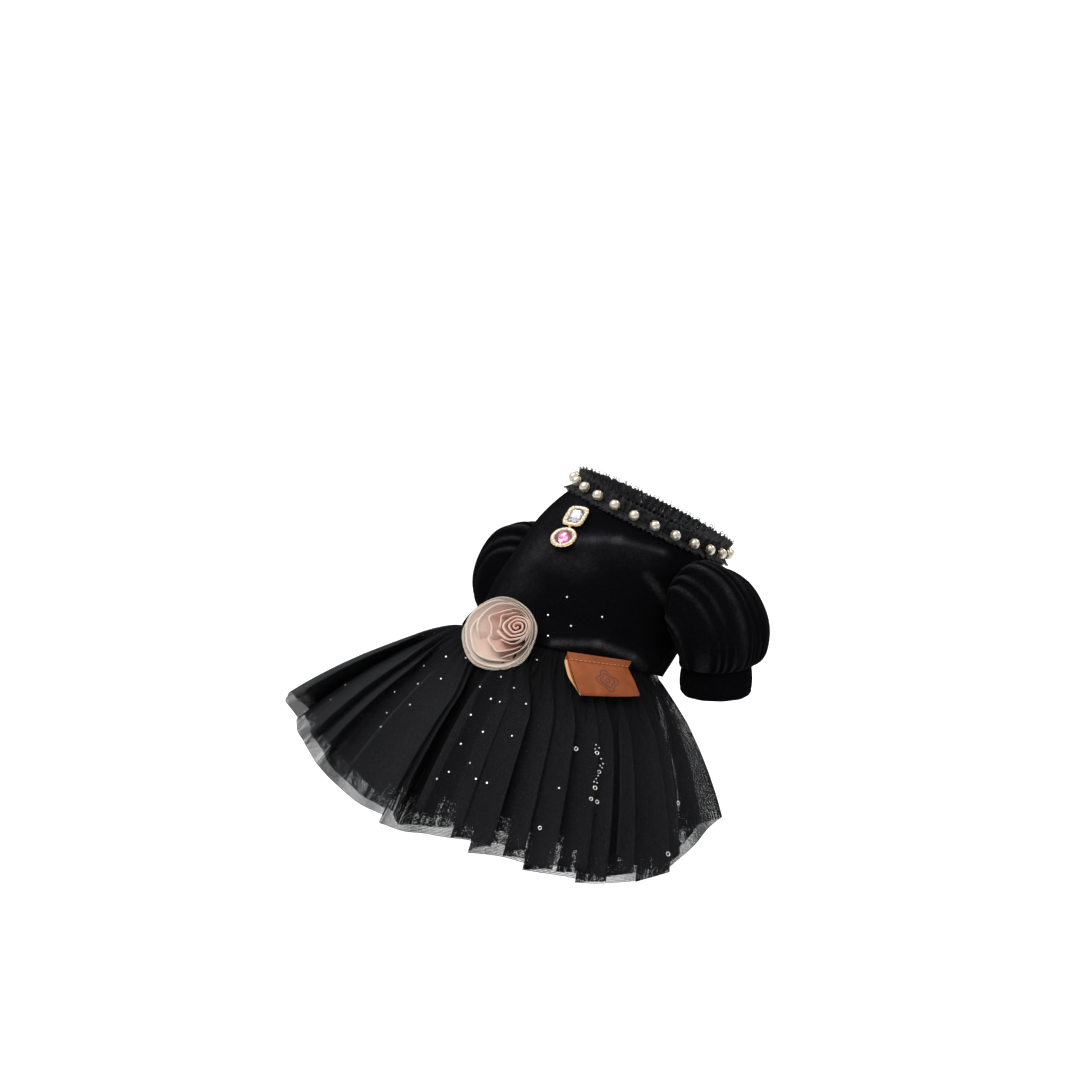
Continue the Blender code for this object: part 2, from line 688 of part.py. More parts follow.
def make_rose():
    """Folded organza wound round itself, on a small round back that is cut slanting to turn the heart."""
    flush, turned = rose_frames()
    seat, across, down, out = flush
    rings = [[], []]
    for side in range(ROSE_BACK_COLUMNS):
        angle = 2 * pi * side / ROSE_BACK_COLUMNS
        x, y = ROSE_BACK_DIAMETER / 2 * cos(angle), ROSE_BACK_DIAMETER / 2 * sin(angle)
        rings[0].append((x, y, 0.0))
        top = turned[0] + x * turned[1] + y * turned[2] - seat
        rings[1].append((top @ across, top @ down, top @ out))
    stack("rose_back", rings, flush, "organza")
    for name, (start, end), rows in (("rose_heart", ROSE_HEART, 3), ("rose_petals", ROSE_PETALS, 4)):
        columns = int(ROSE_TURNS * (end - start) * ROSE_TURN_COLUMNS) + 1
        turns = np.linspace(start, end, columns)
        rises = np.linspace(0.0, 1.0, rows)
        outer = np.array([[rose_point(turned, turn, rise, ORGANZA / 2) for turn in turns] for rise in rises])
        inner = np.array([[rose_point(turned, turn, rise, -ORGANZA / 2) for turn in turns] for rise in rises])
        wall(name, outer, inner, False, "organza")


def waist_axes():
    """Centre of the waist seam, its half-width and half-depth vectors, and the way down out of the waist."""
    centre, sideways, backwards = section(0.0)
    down = np.cross(sideways, backwards)
    down /= np.linalg.norm(down)
    if down @ ALONG > 0:
        down = -down
    return centre, sideways, backwards, down


FALL_KEYS = [row[0] for row in SKIRT_FALL]
FALL_VALUES = [row[1:] for row in SKIRT_FALL]


def skirt_point(angle, share, level, lift):
    """A point of a skirt layer at a share of its fall below the seam, lifted off the cone. Level 0 is the
    outer layer."""
    centre, sideways, backwards, down = waist_axes()
    half_width, half_depth = np.linalg.norm(sideways), np.linalg.norm(backwards)
    outwards = sin(angle) * sideways / half_width + cos(angle) * backwards / half_depth
    flare, length = smooth(FALL_KEYS, FALL_VALUES, angle / SKIRT_SPREAD)
    # The cloth leaves the seam flatter and bends down towards the hem: its arc's mean direction is the flare.
    leaving = radians(flare) + SKIRT_CURL / 2
    inset = level * (TULLE + SEAM_GAP) / cos(leaving)
    start = (
        centre
        + sideways * (1 - inset / half_width) * sin(angle)
        + backwards * (1 - inset / half_depth) * cos(angle)
        + SEAM_GAP * down
    )
    direction = leaving - SKIRT_CURL / 2 * share
    out_part, down_part = sin(direction), cos(direction)
    reach = share * length * SKIRT_LENGTH
    normal = down_part * outwards - out_part * down
    return start + reach * (out_part * outwards + down_part * down) + lift * normal


def skirt_wave(column):
    """Folded pleats: a crest, a slope, a valley and a slope."""
    return (1.0, FOLD_SLOPE, -1.0, -FOLD_SLOPE)[column % POINTS_PER_FOLD]


def make_skirt_layer(name, level, length_share, rows):
    """One gathered layer, its hem's corners standing out a little. Level 0 is the outer layer."""
    columns = SKIRT_FOLDS * POINTS_PER_FOLD + 1
    angles = np.linspace(-SKIRT_SPREAD, SKIRT_SPREAD, columns)
    shares = np.linspace(0.0, length_share, rows)
    grids = []
    for face in (0.0, TULLE):
        grid = []
        for share in shares:
            row = []
            for column, angle in enumerate(angles):
                depth = FOLD_DEPTH * share * (1 + FOLD_VARIATION * sin(FOLD_RHYTHM * angle + 1.0))
                lift = depth * skirt_wave(column) - level * LAYER_GAP * share - face
                corner = HEM_CORNERS[level] * skirt_wave(column) if share == shares[-1] else 0.0
                row.append(skirt_point(angle, share * (1 + corner), level, lift))
            grid.append(row)
        grids.append(np.array(grid))
    return wall(name, grids[0], grids[1], False, "tulle")


def tag_point(angle, fall, lift):
    """A point off the skirt's top. Fall: metres below the waist seam, or above it when it is negative."""
    if fall <= 0:
        return bodice_point(angle, -fall / BACK_LENGTH, lift)
    centre, sideways, backwards, down = waist_axes()
    rim = bodice_point(angle, 0.0, lift)
    out = rim - centre
    out /= np.linalg.norm(out)
    return rim + fall * (sqrt(1 - TAG_SLOPE * TAG_SLOPE) * down + TAG_SLOPE * out)


def make_tag():
    """A leather strip folded into a flat loop, its two ends stitched together along the top."""
    top = -TAG_STRIP * TAG_ABOVE
    strip_end = top + TAG_STRIP
    bottom = top + TAG_LENGTH
    seat = SEAM_GAP * 2
    half_open = TAG_OPENING / 2
    middle = seat + LEATHER + half_open
    outer = (
        (top, seat),
        (strip_end, seat),
        ((strip_end + bottom) / 2, seat - LEATHER / 4),
        (bottom - half_open, seat),
        (bottom + LEATHER / 2, middle),
        (bottom - half_open, 2 * middle - seat),
        ((strip_end + bottom) / 2, 2 * middle - seat + LEATHER / 2),
        (strip_end, seat + 2 * LEATHER + LEATHER / 2),
        (top, seat + 2 * LEATHER),
    )
    inner = (
        (strip_end + LEATHER, seat + LEATHER),
        ((strip_end + bottom) / 2, seat + LEATHER * 0.8),
        (bottom - half_open - LEATHER / 2, seat + LEATHER),
        (bottom - LEATHER, middle),
        (bottom - half_open - LEATHER / 2, 2 * middle - seat - LEATHER),
        ((strip_end + bottom) / 2, 2 * middle - seat - LEATHER / 2),
    )
    half_angle = TAG_WIDTH / 2 / (CHEST_WIDTH / 2)
    angles = np.linspace(TAG_ANGLE - half_angle, TAG_ANGLE + half_angle, TAG_COLUMNS + 1)
    points, faces = [], []
    for angle in angles:
        for fall, lift in outer + inner:
            swing = TAG_SWING * (fall - top) / TAG_LENGTH
            points.append(tag_point(angle + swing, fall, lift))
    count_out, count_in = len(outer), len(inner)
    count = count_out + count_in
    for column in range(TAG_COLUMNS):
        low, high = column * count, (column + 1) * count
        for index in range(count_out):
            beside = (index + 1) % count_out
            faces.append((low + index, high + index, high + beside, low + beside))
        for index in range(count_in):
            beside = (index + 1) % count_in
            a, b = count_out + index, count_out + beside
            faces.append((low + a, low + b, high + b, high + a))
    # Each end face runs between the loop's outline and its opening.
    pairs = ((0, None), (1, 0), (2, 1), (3, 2), (4, 3), (5, 4), (6, 5), (7, 0))
    for base in (0, TAG_COLUMNS * count):
        for (first, hole_first), (second, hole_second) in zip(pairs[1:-1], pairs[2:]):
            faces.append(
                (base + first, base + second, base + count_out + hole_second, base + count_out + hole_first)
            )
        faces.append((base, base + 1, base + count_out, base + 7))
        faces.append((base, base + 7, base + 8))
    return add_mesh("leather_tag", points, faces, "leather")


def main():
    clear_scene()
    make_bodice()
    for side, name in ((-1, "left"), (1, "right")):
        make_sleeve(side, name)
        make_cuff(side, name)
    make_collar()
    make_pearls()
    make_brooch()
    make_rose()
    make_tag()
    make_skirt_layer("skirt_outer", 0, 1.0, 5)
    make_skirt_layer("skirt_middle", 1, MIDDLE_SHARE, 5)
    make_skirt_layer("skirt_inner", 2, INNER_SHARE, 4)


main()
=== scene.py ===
"""Dresses the solids of a small velvet dress in their cloth, lace, stones, organza, leather and tulle, and
sets a camera and soft light round it."""

from math import cos, pi, radians, sin, sqrt

import bmesh
import bpy
import numpy as np
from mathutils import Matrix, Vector
from mathutils.bvhtree import BVHTree


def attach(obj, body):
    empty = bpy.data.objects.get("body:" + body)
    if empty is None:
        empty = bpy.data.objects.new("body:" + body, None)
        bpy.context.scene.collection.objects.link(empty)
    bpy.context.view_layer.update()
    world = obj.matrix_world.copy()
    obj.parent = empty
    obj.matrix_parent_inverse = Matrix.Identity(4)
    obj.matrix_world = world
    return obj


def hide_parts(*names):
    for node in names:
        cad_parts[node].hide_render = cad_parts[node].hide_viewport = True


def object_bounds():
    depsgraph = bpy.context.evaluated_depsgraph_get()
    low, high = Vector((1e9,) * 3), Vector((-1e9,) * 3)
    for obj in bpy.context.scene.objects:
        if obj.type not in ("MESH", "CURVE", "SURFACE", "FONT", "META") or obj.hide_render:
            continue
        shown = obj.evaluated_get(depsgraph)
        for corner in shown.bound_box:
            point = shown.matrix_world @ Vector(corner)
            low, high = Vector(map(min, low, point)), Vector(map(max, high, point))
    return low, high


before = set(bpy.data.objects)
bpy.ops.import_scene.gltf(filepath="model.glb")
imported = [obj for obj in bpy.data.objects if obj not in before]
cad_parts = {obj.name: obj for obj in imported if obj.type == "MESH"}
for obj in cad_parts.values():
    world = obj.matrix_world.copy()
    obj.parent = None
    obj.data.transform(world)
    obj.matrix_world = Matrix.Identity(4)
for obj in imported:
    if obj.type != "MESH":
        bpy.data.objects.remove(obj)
CAD_BOX = [list(corner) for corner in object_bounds()]

bl_info = {
    "name": "Small Velvet Dress",
    "version": (1, 0, 0),
    "blender": (4, 5, 0),
    "location": "3D View > Sidebar > Dress",
    "description": "Makes the cloth, lace, brooch, rose, tag and tulle of a small dress, and its stage",
    "category": "Object",
}

# The body that the dress is cut for, as in the part's solids
TORSO_LEAN = radians(45)
BACK_LENGTH = 0.136
CHEST_WIDTH = 0.152
CHEST_DEPTH = 0.164
SEAT_RISE = 0.095

VELVET = 0.0015
SLEEVE_CLOTH = 0.0012
CUFF_CLOTH = 0.0020
LACE = 0.0004
TULLE = 0.00025
ORGANZA = 0.0004
LEATHER = 0.0016
SEAM_GAP = 0.0003

# Flat sizes of the cut cloth, across and down
BODICE_CUT = (0.47, 0.155)
PUFF_CUT = (0.24, 0.075)
CUFF_CUT = 0.165
LACE_CUT = (0.62, 0.010)

ARMHOLE_HEIGHT = 0.054
ARMHOLE_WIDTH = 0.050
SLEEVE_FORWARD = 0.014
SLEEVE_DROP = 0.007
PUFF_REACH = 0.081
PUFF_WIDTH = 0.072
CUFF_DIAMETER = 0.052
CUFF_HEIGHT = 0.022
ARMPIT_OUT = 0.004
ARMPIT_DROP = 0.013

LACE_BELOW = 0.007
LACE_ABOVE = 0.010
RUFFLE_DEPTH = 0.0022
PEARL_RAISE = 0.2

TOP_LENGTH = 0.0200
TOP_WIDTH = 0.0165
DROP_DIAMETER = 0.0195
SETTING_HEIGHT = 0.0024
HALO_WIDTH = 0.0028
HALO_STONES = 20
STONE_RISE = 0.0036
TOP_SQUARENESS = 1.9
EYE_RADIUS = 0.0008
EYE_WIRE = 0.0005
EYE_REACH = 0.4
EYE_LEVEL = 0.62
LINK_RADIUS = 0.0012
LINK_WIRE = 0.00044
BROOCH_SHARE = 0.80
BROOCH_ANGLE = radians(6)
BROOCH_SWING = radians(12)
BROOCH_LIFT = 0.0004

ROSE_DIAMETER = 0.058
ROSE_BACK_HEIGHT = 0.0042
ROSE_SHARE = 0.02
ROSE_HEART = (0.0115, -0.0015, 0.0165)
ROSE_RIM = (-0.0022, 0.0066, 0.0075)
ROSE_SPREAD = 0.93
ROSE_ANGLE = radians(9)
ROSE_TURNED = radians(18)
ROSE_NODDING = radians(12)

TAG_WIDTH = 0.043
TAG_LENGTH = 0.029
TAG_STRIP = 0.006
TAG_OPENING = 0.0035
TAG_ABOVE = 0.55
TAG_SLOPE = 0.58
TAG_ANGLE = radians(59)
TAG_DRIFT = radians(7)
TAG_SKEW = 0.0060
TAG_TILT = 0.0060
TAG_NARROWING = 0.13
TAG_ASKEW = 0.055  # how far the back of the fold shows past its front

SKIRT_LENGTH = 0.150
SKIRT_SPREAD = radians(112)
FOLD_DEPTH = 0.013
SKIRT_CURL = radians(22)
LAYER_GAP = 0.0060

SECTIONS = (
    # share, back_along, back_depth, belly_along, belly_depth, width, roll
    (0.00, 0.00, 0.93, 0.45, -0.86, 1.00, 0.0),
    (0.13, 0.13, 0.90, 0.58, -0.93, 0.955, 0.0),
    (0.33, 0.33, 0.92, 0.74, -1.00, 0.915, 0.0),
    (0.55, 0.55, 0.92, 0.91, -1.05, 0.905, 1.0),
    (0.73, 0.73, 0.89, 1.08, -1.07, 0.890, 4.0),
    (0.88, 0.88, 0.81, 1.25, -1.05, 0.830, 10.0),
    (1.00, 1.00, 0.72, 1.385, -0.97, 0.740, 16.0),
)

BODICE_FOLDS = (
    # from_deg, from_share, to_deg, to_share, half_deg, height
    (18.0, 0.075, 100.0, 0.075, 7.0, 0.030),
    (24.0, 0.17, 96.0, 0.15, 6.0, -0.012),
    (-90.0, 0.08, -20.0, 0.08, 7.0, 0.018),
    (12.0, 0.66, 52.0, 0.74, 8.0, 0.016),
    (34.0, 0.50, 72.0, 0.22, 8.0, -0.014),
    (20.0, 0.40, 58.0, 0.20, 9.0, 0.012),
    (-60.0, 0.45, -25.0, 0.22, 9.0, 0.010),
    (140.0, 0.30, 215.0, 0.34, 10.0, 0.010),
)

PUFF_PLANES = (
    # along, turn_deg, inner, outer, side
    (0.18, 77, 0.130, 0.960, 0.88),
    (0.38, 56, 0.090, 1.000, 0.98),
    (0.58, 34, 0.075, 0.960, 1.00),
    (0.78, 16, 0.060, 0.880, 0.96),
    (0.90, 6, 0.050, 0.800, 0.88),
)

SKIRT_FALL = (
    # angle, flare_deg, length
    (-1.00, 42.0, 0.86),
    (-0.75, 48.0, 0.94),
    (-0.44, 51.0, 0.94),
    (-0.22, 40.0, 1.02),
    (0.00, 27.0, 1.09),
    (0.25, 21.0, 1.05),
    (0.52, 24.0, 1.04),
    (0.78, 27.0, 1.00),
    (1.00, 31.0, 0.84),
)

SKIRT_LAYERS = (
    # name, node, level, length, left, right, folds, seed, depth, material
    ("tulle_lining", "skirt_inner", 2.0, 0.78, 0.84, 0.84, 13, 5, 0.40, "dense tulle"),
    ("tulle_under", "skirt_middle", 1.4, 0.83, 0.88, 0.87, 14, 11, 0.50, "dense tulle"),
    ("tulle_middle", "", 0.9, 0.90, 0.92, 0.92, 11, 3, 0.90, "tulle"),
    ("tulle_over", "skirt_outer", 0.45, 0.97, 0.96, 0.96, 11, 8, 1.10, "tulle"),
    ("tulle_top", "", 0.0, 1.01, 1.00, 1.00, 10, 2, 1.20, "tulle"),
)

# Painted sheen: lines along the bodice's folds where its pile is painted lighter, as if catching the light
PAINTED_SHEEN_STREAKS = (
    # from_deg, from_share, to_deg, to_share, half_deg, strength
    (17, 0.665, 37, 0.770, 3, 0.85),
    (37, 0.770, 64, 0.830, 2.5, 0.75),
    (27, 0.700, 56, 0.730, 9, 0.15),
    (62, 0.620, 89, 0.445, 2, 0.65),
    (89, 0.445, 100, 0.325, 2, 0.45),
    (-9, 0.540, 27, 0.545, 8, 0.30),
    (34, 0.035, 55, 0.100, 2, 0.75),
    (55, 0.100, 78, 0.075, 2, 0.70),
    (78, 0.075, 90, 0.020, 2, 0.45),
    (89, 0.990, 131, 0.975, 5, 0.35),
    (-8, 0.300, -8, 0.950, 13, 0.22),
    (-100, 0.150, -60, 0.350, 8, 0.40),
    (-120, 0.600, -70, 0.720, 9, 0.45),
    (150, 0.450, 200, 0.380, 10, 0.40),
    (120, 0.800, 190, 0.880, 9, 0.35),
)

ROSE_PETALS = (
    # name, middle_deg, half_deg, rim, point, material
    ("petal_1", 205, 70, 0.42, 0.14, "organza"),
    ("petal_2", 60, 72, 0.43, 0.04, "organza"),
    ("petal_3", 320, 72, 0.47, 0.03, "organza"),
    ("petal_4", 190, 74, 0.56, 0.16, "organza"),
    ("petal_5", 85, 70, 0.60, 0.12, "organza"),
    ("petal_6", 300, 74, 0.64, 0.03, "organza"),
    ("petal_7", 10, 70, 0.72, 0.02, "organza"),
    ("petal_8", 215, 80, 0.78, 0.02, "organza"),
    ("petal_9", 120, 78, 0.84, 0.03, "organza"),
    ("petal_10", 310, 70, 0.88, 0.02, "organza"),
    ("petal_11", 175, 84, 0.95, 0.00, "organza"),
    ("petal_12", 60, 76, 0.96, 0.02, "organza"),
    ("leaf_1", 330, 82, 1.00, 0.02, "sheer organza"),
    ("leaf_2", 225, 86, 1.00, 0.00, "sheer organza"),
    ("leaf_3", 95, 88, 1.02, 0.02, "sheer organza"),
    ("leaf_4", 20, 70, 1.03, 0.03, "sheer organza"),
)

# Rhinestones that show in the reference, as pixels of its 1080 frame
SEEN_DOTS = (
    # across, down
    (451, 641), (446, 657), (424, 666), (466, 658), (441, 679), (395, 692), (410, 705), (387, 713),
    (361, 715), (381, 727), (418, 684), (501, 677), (480, 687), (514, 688), (491, 699), (500, 702),
    (471, 715), (526, 704), (483, 732), (512, 736), (461, 744), (470, 763), (449, 772), (476, 779),
    (437, 779), (487, 783), (537, 660), (548, 615), (548, 636), (467, 598), (477, 605), (567, 597),
    (571, 626), (602, 617), (559, 788),
)
SEEN_RINGS = (
    # across, down
    (576, 749), (597, 753), (599, 772), (595, 788), (591, 799), (597, 802), (678, 803), (540, 828),
    (668, 854),
)
SEEN_BEADS = (
    # across, down
    (596, 745), (599, 748), (595, 749), (601, 759), (603, 764), (600, 766), (602, 768), (596, 779),
    (594, 782), (597, 783), (598, 776),
)

VIEW_AZIMUTH = radians(42)
VIEW_ELEVATION = radians(15)
VIEW_DISTANCE = 2.2
VIEW_WIDTH = 0.81  # of what the frame takes in at the dress
VIEW_AIM = (-0.0041, 0.110)  # right of and above the waist's middle
WAIST_MIDDLE = Vector((0.0, -0.0672, -0.0672))
SENSOR = 36.0
FLOOR_BELOW = 0.320
PICTURE = 1080

ALONG = np.array((0.0, cos(TORSO_LEAN), sin(TORSO_LEAN)))
BACK = np.array((0.0, -sin(TORSO_LEAN), cos(TORSO_LEAN)))
RIGHT = np.array((1.0, 0.0, 0.0))


def tint(label, description, default):
    return bpy.props.FloatVectorProperty(
        name=label, description=description, subtype="COLOR", size=3, default=default
    )


def metres(label, description, default):
    return bpy.props.FloatProperty(name=label, description=description, default=default, unit="LENGTH")


def count_of(label, description, default, least):
    return bpy.props.IntProperty(name=label, description=description, default=default, min=least)


class DressColours(bpy.types.PropertyGroup):
    velvet: tint("Velvet", "Colour of the pile", (0.0011, 0.0011, 0.0013))
    tulle: tint("Tulle", "Colour of the net", (0.0105, 0.0108, 0.0120))
    organza: tint("Organza", "Colour of the rose", (0.47, 0.41, 0.355))
    # Painted shade: the deeper colour painted into the hollows between the rose's turns and inner petals
    organza_painted_shade: tint("Organza grooves", "Between the inner petals", (0.58, 0.19, 0.12))
    leather: tint("Leather", "Colour of the tag", (0.185, 0.046, 0.012))
    gold: tint("Gold", "Plating of the settings", (0.83, 0.58, 0.26))
    pearl: tint("Pearl", "Body colour of the pearls", (0.47, 0.42, 0.34))
    pink: tint("Pink stone", "Colour of the drop's stone", (0.93, 0.42, 0.60))


class DressSizes(bpy.types.PropertyGroup):
    net_cell: metres("Net cell", "Width of a hole in the tulle", 0.0009)
    cap_gathers: count_of("Gathers", "Gathers round a sleeve's armhole", 16, 6)
    pearl_diameter: metres("Pearl", "Diameter of a collar pearl", 0.008)
    pearl_count: count_of("Pearls", "Pearls round the collar", 24, 8)
    ruffles: count_of("Ruffles", "Ruffles round the collar", 56, 12)
    dot_size: metres("Rhinestone", "Diameter of a small rhinestone", 0.0015)
    ring_size: metres("Sequin", "Diameter of a ring sequin", 0.0031)
    bead_size: metres("Seed bead", "Diameter of a seed bead", 0.0011)
    rose_turns: bpy.props.FloatProperty(
        name="Turns", description="Turns of the rose's heart", default=3.4, min=2
    )
    stitch: metres("Stitch", "Length of a stitch on the tag", 0.0022)


def colours():
    return bpy.context.scene.dress_colours


def sizes():
    return bpy.context.scene.dress_sizes


# Curves and surfaces

def smooth(table, at):
    """Values at an array of places on a smooth curve through a table's rows, keyed by their first column."""
    rows = np.asarray(table, float)
    keys, values = rows[:, 0], rows[:, 1:]
    slopes = np.gradient(values, keys, axis=0)
    at = np.clip(np.asarray(at, float), keys[0], keys[-1])
    low = np.clip(np.searchsorted(keys, at, side="right") - 1, 0, len(keys) - 2)
    span = (keys[low + 1] - keys[low])[..., None]
    part = (at - keys[low])[..., None] / span
    return (
        values[low] * (2 * part**3 - 3 * part**2 + 1)
        + values[low + 1] * (3 * part**2 - 2 * part**3)
        + slopes[low] * span * (part**3 - 2 * part**2 + part)
        + slopes[low + 1] * span * (part**3 - part**2)
    )


def fade(value, low, high):
    """Runs smoothly from 0 at low to 1 at high."""
    part = np.clip((value - low) / (high - low), 0.0, 1.0)
    return part * part * (3 - 2 * part)


def unit(vectors):
    return vectors / np.linalg.norm(vectors, axis=-1, keepdims=True)


def section(share):
    """Centre, half-width vector and half-depth vector of the bodice at shares of the back length."""
    columns = np.moveaxis(smooth(SECTIONS, share), -1, 0)
    back_along, back_depth, belly_along, belly_depth, width, roll = columns
    half = CHEST_DEPTH / 2

    def edge(along, depth):
        return (along * BACK_LENGTH - SEAT_RISE)[..., None] * ALONG + (depth * half)[..., None] * BACK

    back, belly = edge(back_along, back_depth), edge(belly_along, belly_depth)
    turned = np.cos(np.radians(roll))[..., None] * RIGHT - np.sin(np.radians(roll))[..., None] * ALONG
    return (back + belly) / 2, width[..., None] * CHEST_WIDTH / 2 * turned, (back - belly) / 2


def ridges(table, angle, share, behind_deg):
    """The sum of soft ridges on the bodice, each along a line of the table. Degrees past behind_deg before
    a line's start count as after it."""
    total = np.zeros(np.broadcast(angle, share).shape)
    scale = BACK_LENGTH / radians(1) / (CHEST_DEPTH / 2)
    for from_deg, from_share, to_deg, to_share, half_deg, strength in table:
        degrees = (np.degrees(angle) - from_deg + behind_deg) % 360 - behind_deg
        line = np.array((to_deg - from_deg, (to_share - from_share) * scale))
        up = (share - from_share) * scale
        along = np.clip((degrees * line[0] + up * line[1]) / (line @ line), 0.0, 1.0)
        away = np.hypot(degrees - along * line[0], up - along * line[1]) / half_deg
        total = total + strength * np.exp(-away * away)
    return total


def fold_height(angle, share):
    """How far the folds lift the bodice's cloth."""
    return BACK_LENGTH * ridges(BODICE_FOLDS, angle, share, 120)


def bodice_point(angle, share, lift=0.0):
    """Points on the bodice, lifted off its outer face in the section's plane. Angle 0 is the centre back."""
    angle, share = np.broadcast_arrays(np.asarray(angle, float), np.asarray(share, float))
    centre, sideways, backwards = section(share)
    lift = (lift + fold_height(angle, share))[..., None]
    half_width = np.linalg.norm(sideways, axis=-1, keepdims=True)
    half_depth = np.linalg.norm(backwards, axis=-1, keepdims=True)
    return (
        centre
        + sideways * (1 + lift / half_width) * np.sin(angle)[..., None]
        + backwards * (1 + lift / half_depth) * np.cos(angle)[..., None]
    )


def bodice_frame(angle, share):
    """Point, across, down and outward directions on the bodice."""
    step = 0.01
    across = unit(bodice_point(angle + step, share) - bodice_point(angle - step, share))
    down = bodice_point(angle, max(share - step, 0.0)) - bodice_point(angle, min(share + step, 1.0))
    down = unit(down - (down @ across) * across)
    return bodice_point(angle, share), across, down, np.cross(across, -down)


def flank_points(side, forward, height):
    """Points of the bodice's side with these y and z, by Newton's method."""
    angle = np.full(len(forward), side * pi / 2)
    share = np.full(len(forward), 0.6)
    step = 1e-4
    for _ in range(20):
        at = bodice_point(angle, share)
        by_angle = (bodice_point(angle + step, share) - at)[:, 1:] / step
        by_share = (bodice_point(angle, share + step) - at)[:, 1:] / step
        miss = np.stack([forward, height], axis=1) - at[:, 1:]
        change = np.linalg.solve(np.stack([by_angle, by_share], axis=2), miss[..., None])[..., 0]
        angle = angle + change[:, 0]
        share = np.clip(share + change[:, 1], 0.05, 0.98)
    return bodice_point(angle, share)


def armhole_ring(side, columns, scale=1.0):
    turn = 2 * pi * np.arange(columns) / columns
    forward = SLEEVE_FORWARD + scale * ARMHOLE_WIDTH / 2 * np.sin(turn)
    height = -SLEEVE_DROP + scale * ARMHOLE_HEIGHT / 2 * np.cos(turn)
    return flank_points(side, forward, height)


def armpit():
    low = flank_points(1, np.array([SLEEVE_FORWARD]), np.array([-SLEEVE_DROP - ARMHOLE_HEIGHT / 2]))[0]
    return low[0] + ARMPIT_OUT, low[2] - ARMPIT_DROP


def neck_axis():
    _, sideways, backwards = section(np.array(1.0))
    axis = unit(np.cross(backwards, sideways))
    return axis if axis @ ALONG > 0 else -axis


def waist_axes():
    centre, sideways, backwards = section(np.array(0.0))
    down = unit(np.cross(sideways, backwards))
    return centre, sideways, backwards, -down if down @ ALONG > 0 else down


def skirt_point(angle, share, level, lift):
    """Points of a skirt layer at shares of its fall, lifted off the cone. Level 0 is outermost."""
    centre, sideways, backwards, down = waist_axes()
    half_width, half_depth = np.linalg.norm(sideways), np.linalg.norm(backwards)
    round_way = np.sin(angle)[..., None], np.cos(angle)[..., None]
    outwards = round_way[0] * sideways / half_width + round_way[1] * backwards / half_depth
    flare, length = np.moveaxis(smooth(SKIRT_FALL, angle / SKIRT_SPREAD), -1, 0)
    leaving = np.radians(flare) + SKIRT_CURL / 2
    inset = (level * (0.001 + SEAM_GAP) / np.cos(leaving))[..., None]
    start = (
        centre
        + sideways * (1 - inset / half_width) * round_way[0]
        + backwards * (1 - inset / half_depth) * round_way[1]
        + SEAM_GAP * down
    )
    direction = leaving - SKIRT_CURL / 2 * share
    out_part, down_part = np.sin(direction)[..., None], np.cos(direction)[..., None]
    reach = (share * length * SKIRT_LENGTH)[..., None]
    normal = down_part * outwards - out_part * down
    return start + reach * (out_part * outwards + down_part * down) + np.asarray(lift)[..., None] * normal


def grid_normals(grid, wraps):
    """Outward directions of a grid of points, where columns run so that columns x rows point out."""
    if wraps:
        by_column = np.roll(grid, -1, axis=1) - np.roll(grid, 1, axis=1)
    else:
        by_column = np.gradient(grid, axis=1)
    by_row = np.gradient(grid, axis=0)
    normal = np.cross(by_column, by_row)
    return normal / np.maximum(np.linalg.norm(normal, axis=-1, keepdims=True), 1e-12)


# Meshes

def piece(name, points, faces, material_name, uv=None, flat=False):
    """A mesh object from points and faces, with a cloth map in metres where uv gives it for each corner."""
    mesh = bpy.data.meshes.new(name)
    places = np.asarray(points).reshape(-1, 3)
    mesh.from_pydata(places.tolist(), [], np.asarray(faces, dtype=object).tolist())
    if uv is not None:
        layer = mesh.uv_layers.new(name="Cloth")
        layer.data.foreach_set("uv", np.asarray(uv, np.float32).ravel())
    if not flat:
        mesh.shade_smooth()
    mesh.materials.append(finish(material_name))
    mesh.validate()
    made = bpy.data.objects.new(name, mesh)
    bpy.context.scene.collection.objects.link(made)
    return made


def quads(rows, columns, wraps):
    """Corner indices of a grid's faces, rows by columns."""
    spans = columns if wraps else columns - 1
    row, column = np.meshgrid(np.arange(rows - 1), np.arange(spans), indexing="ij")
    beside = (column + 1) % columns
    low, high = row * columns, (row + 1) * columns
    return np.stack([low + column, low + beside, high + beside, high + column], axis=-1).reshape(-1, 4)


def grid_uv(rows, columns, wraps, width, length):
    """A cloth map for quads(): across by down, in metres."""
    spans = columns if wraps else columns - 1
    row, column = np.meshgrid(np.arange(rows - 1), np.arange(spans), indexing="ij")
    across = np.stack([column, column + 1, column + 1, column], axis=-1) / spans * width
    down = np.stack([row, row, row + 1, row + 1], axis=-1) / (rows - 1) * length
    return np.stack([across, down], axis=-1).reshape(-1, 2)


def cloth(name, grid, wraps, material_name, thickness, width, length, shift=0.0):
    """A sheet of cloth through a grid of points, whose faces turn outwards, with its thickness inside it."""
    rows, columns = grid.shape[:2]
    place = grid_uv(rows, columns, wraps, width, length) + shift
    made = piece(name, grid, quads(rows, columns, wraps), material_name, place)
    thicken(made, thickness)
    return made


def thicken(made, thickness, offset=-1.0):
    wall = made.modifiers.new("wall", "SOLIDIFY")
    wall.thickness = thickness
    wall.offset = offset


def lay_painted_light_and_shade(made, painted_light_and_shade):
    """Says on each point of a piece how much painted light and shade its colour carries: sheen on the
    velvet, light and shade on the tulle, groove shade on the organza.
    """
    layer = made.data.attributes.new("painted_light_and_shade", "FLOAT", "POINT")
    layer.data.foreach_set("value", np.asarray(painted_light_and_shade, np.float32).ravel())


def settle(made):
    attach(made, "root")
    return made


def turned_in(grid, wraps, centre, *beside):
    """The grid, and what is laid on it, with columns reversed if its faces would point at the centre."""
    out = np.einsum("rci,rci->rc", grid_normals(grid, wraps), grid - centre).mean()
    turned = (grid, *beside) if out > 0 else tuple(each[:, ::-1] for each in (grid, *beside))
    return turned if beside else turned[0]


# Geometry nodes that set copies of a shape on points

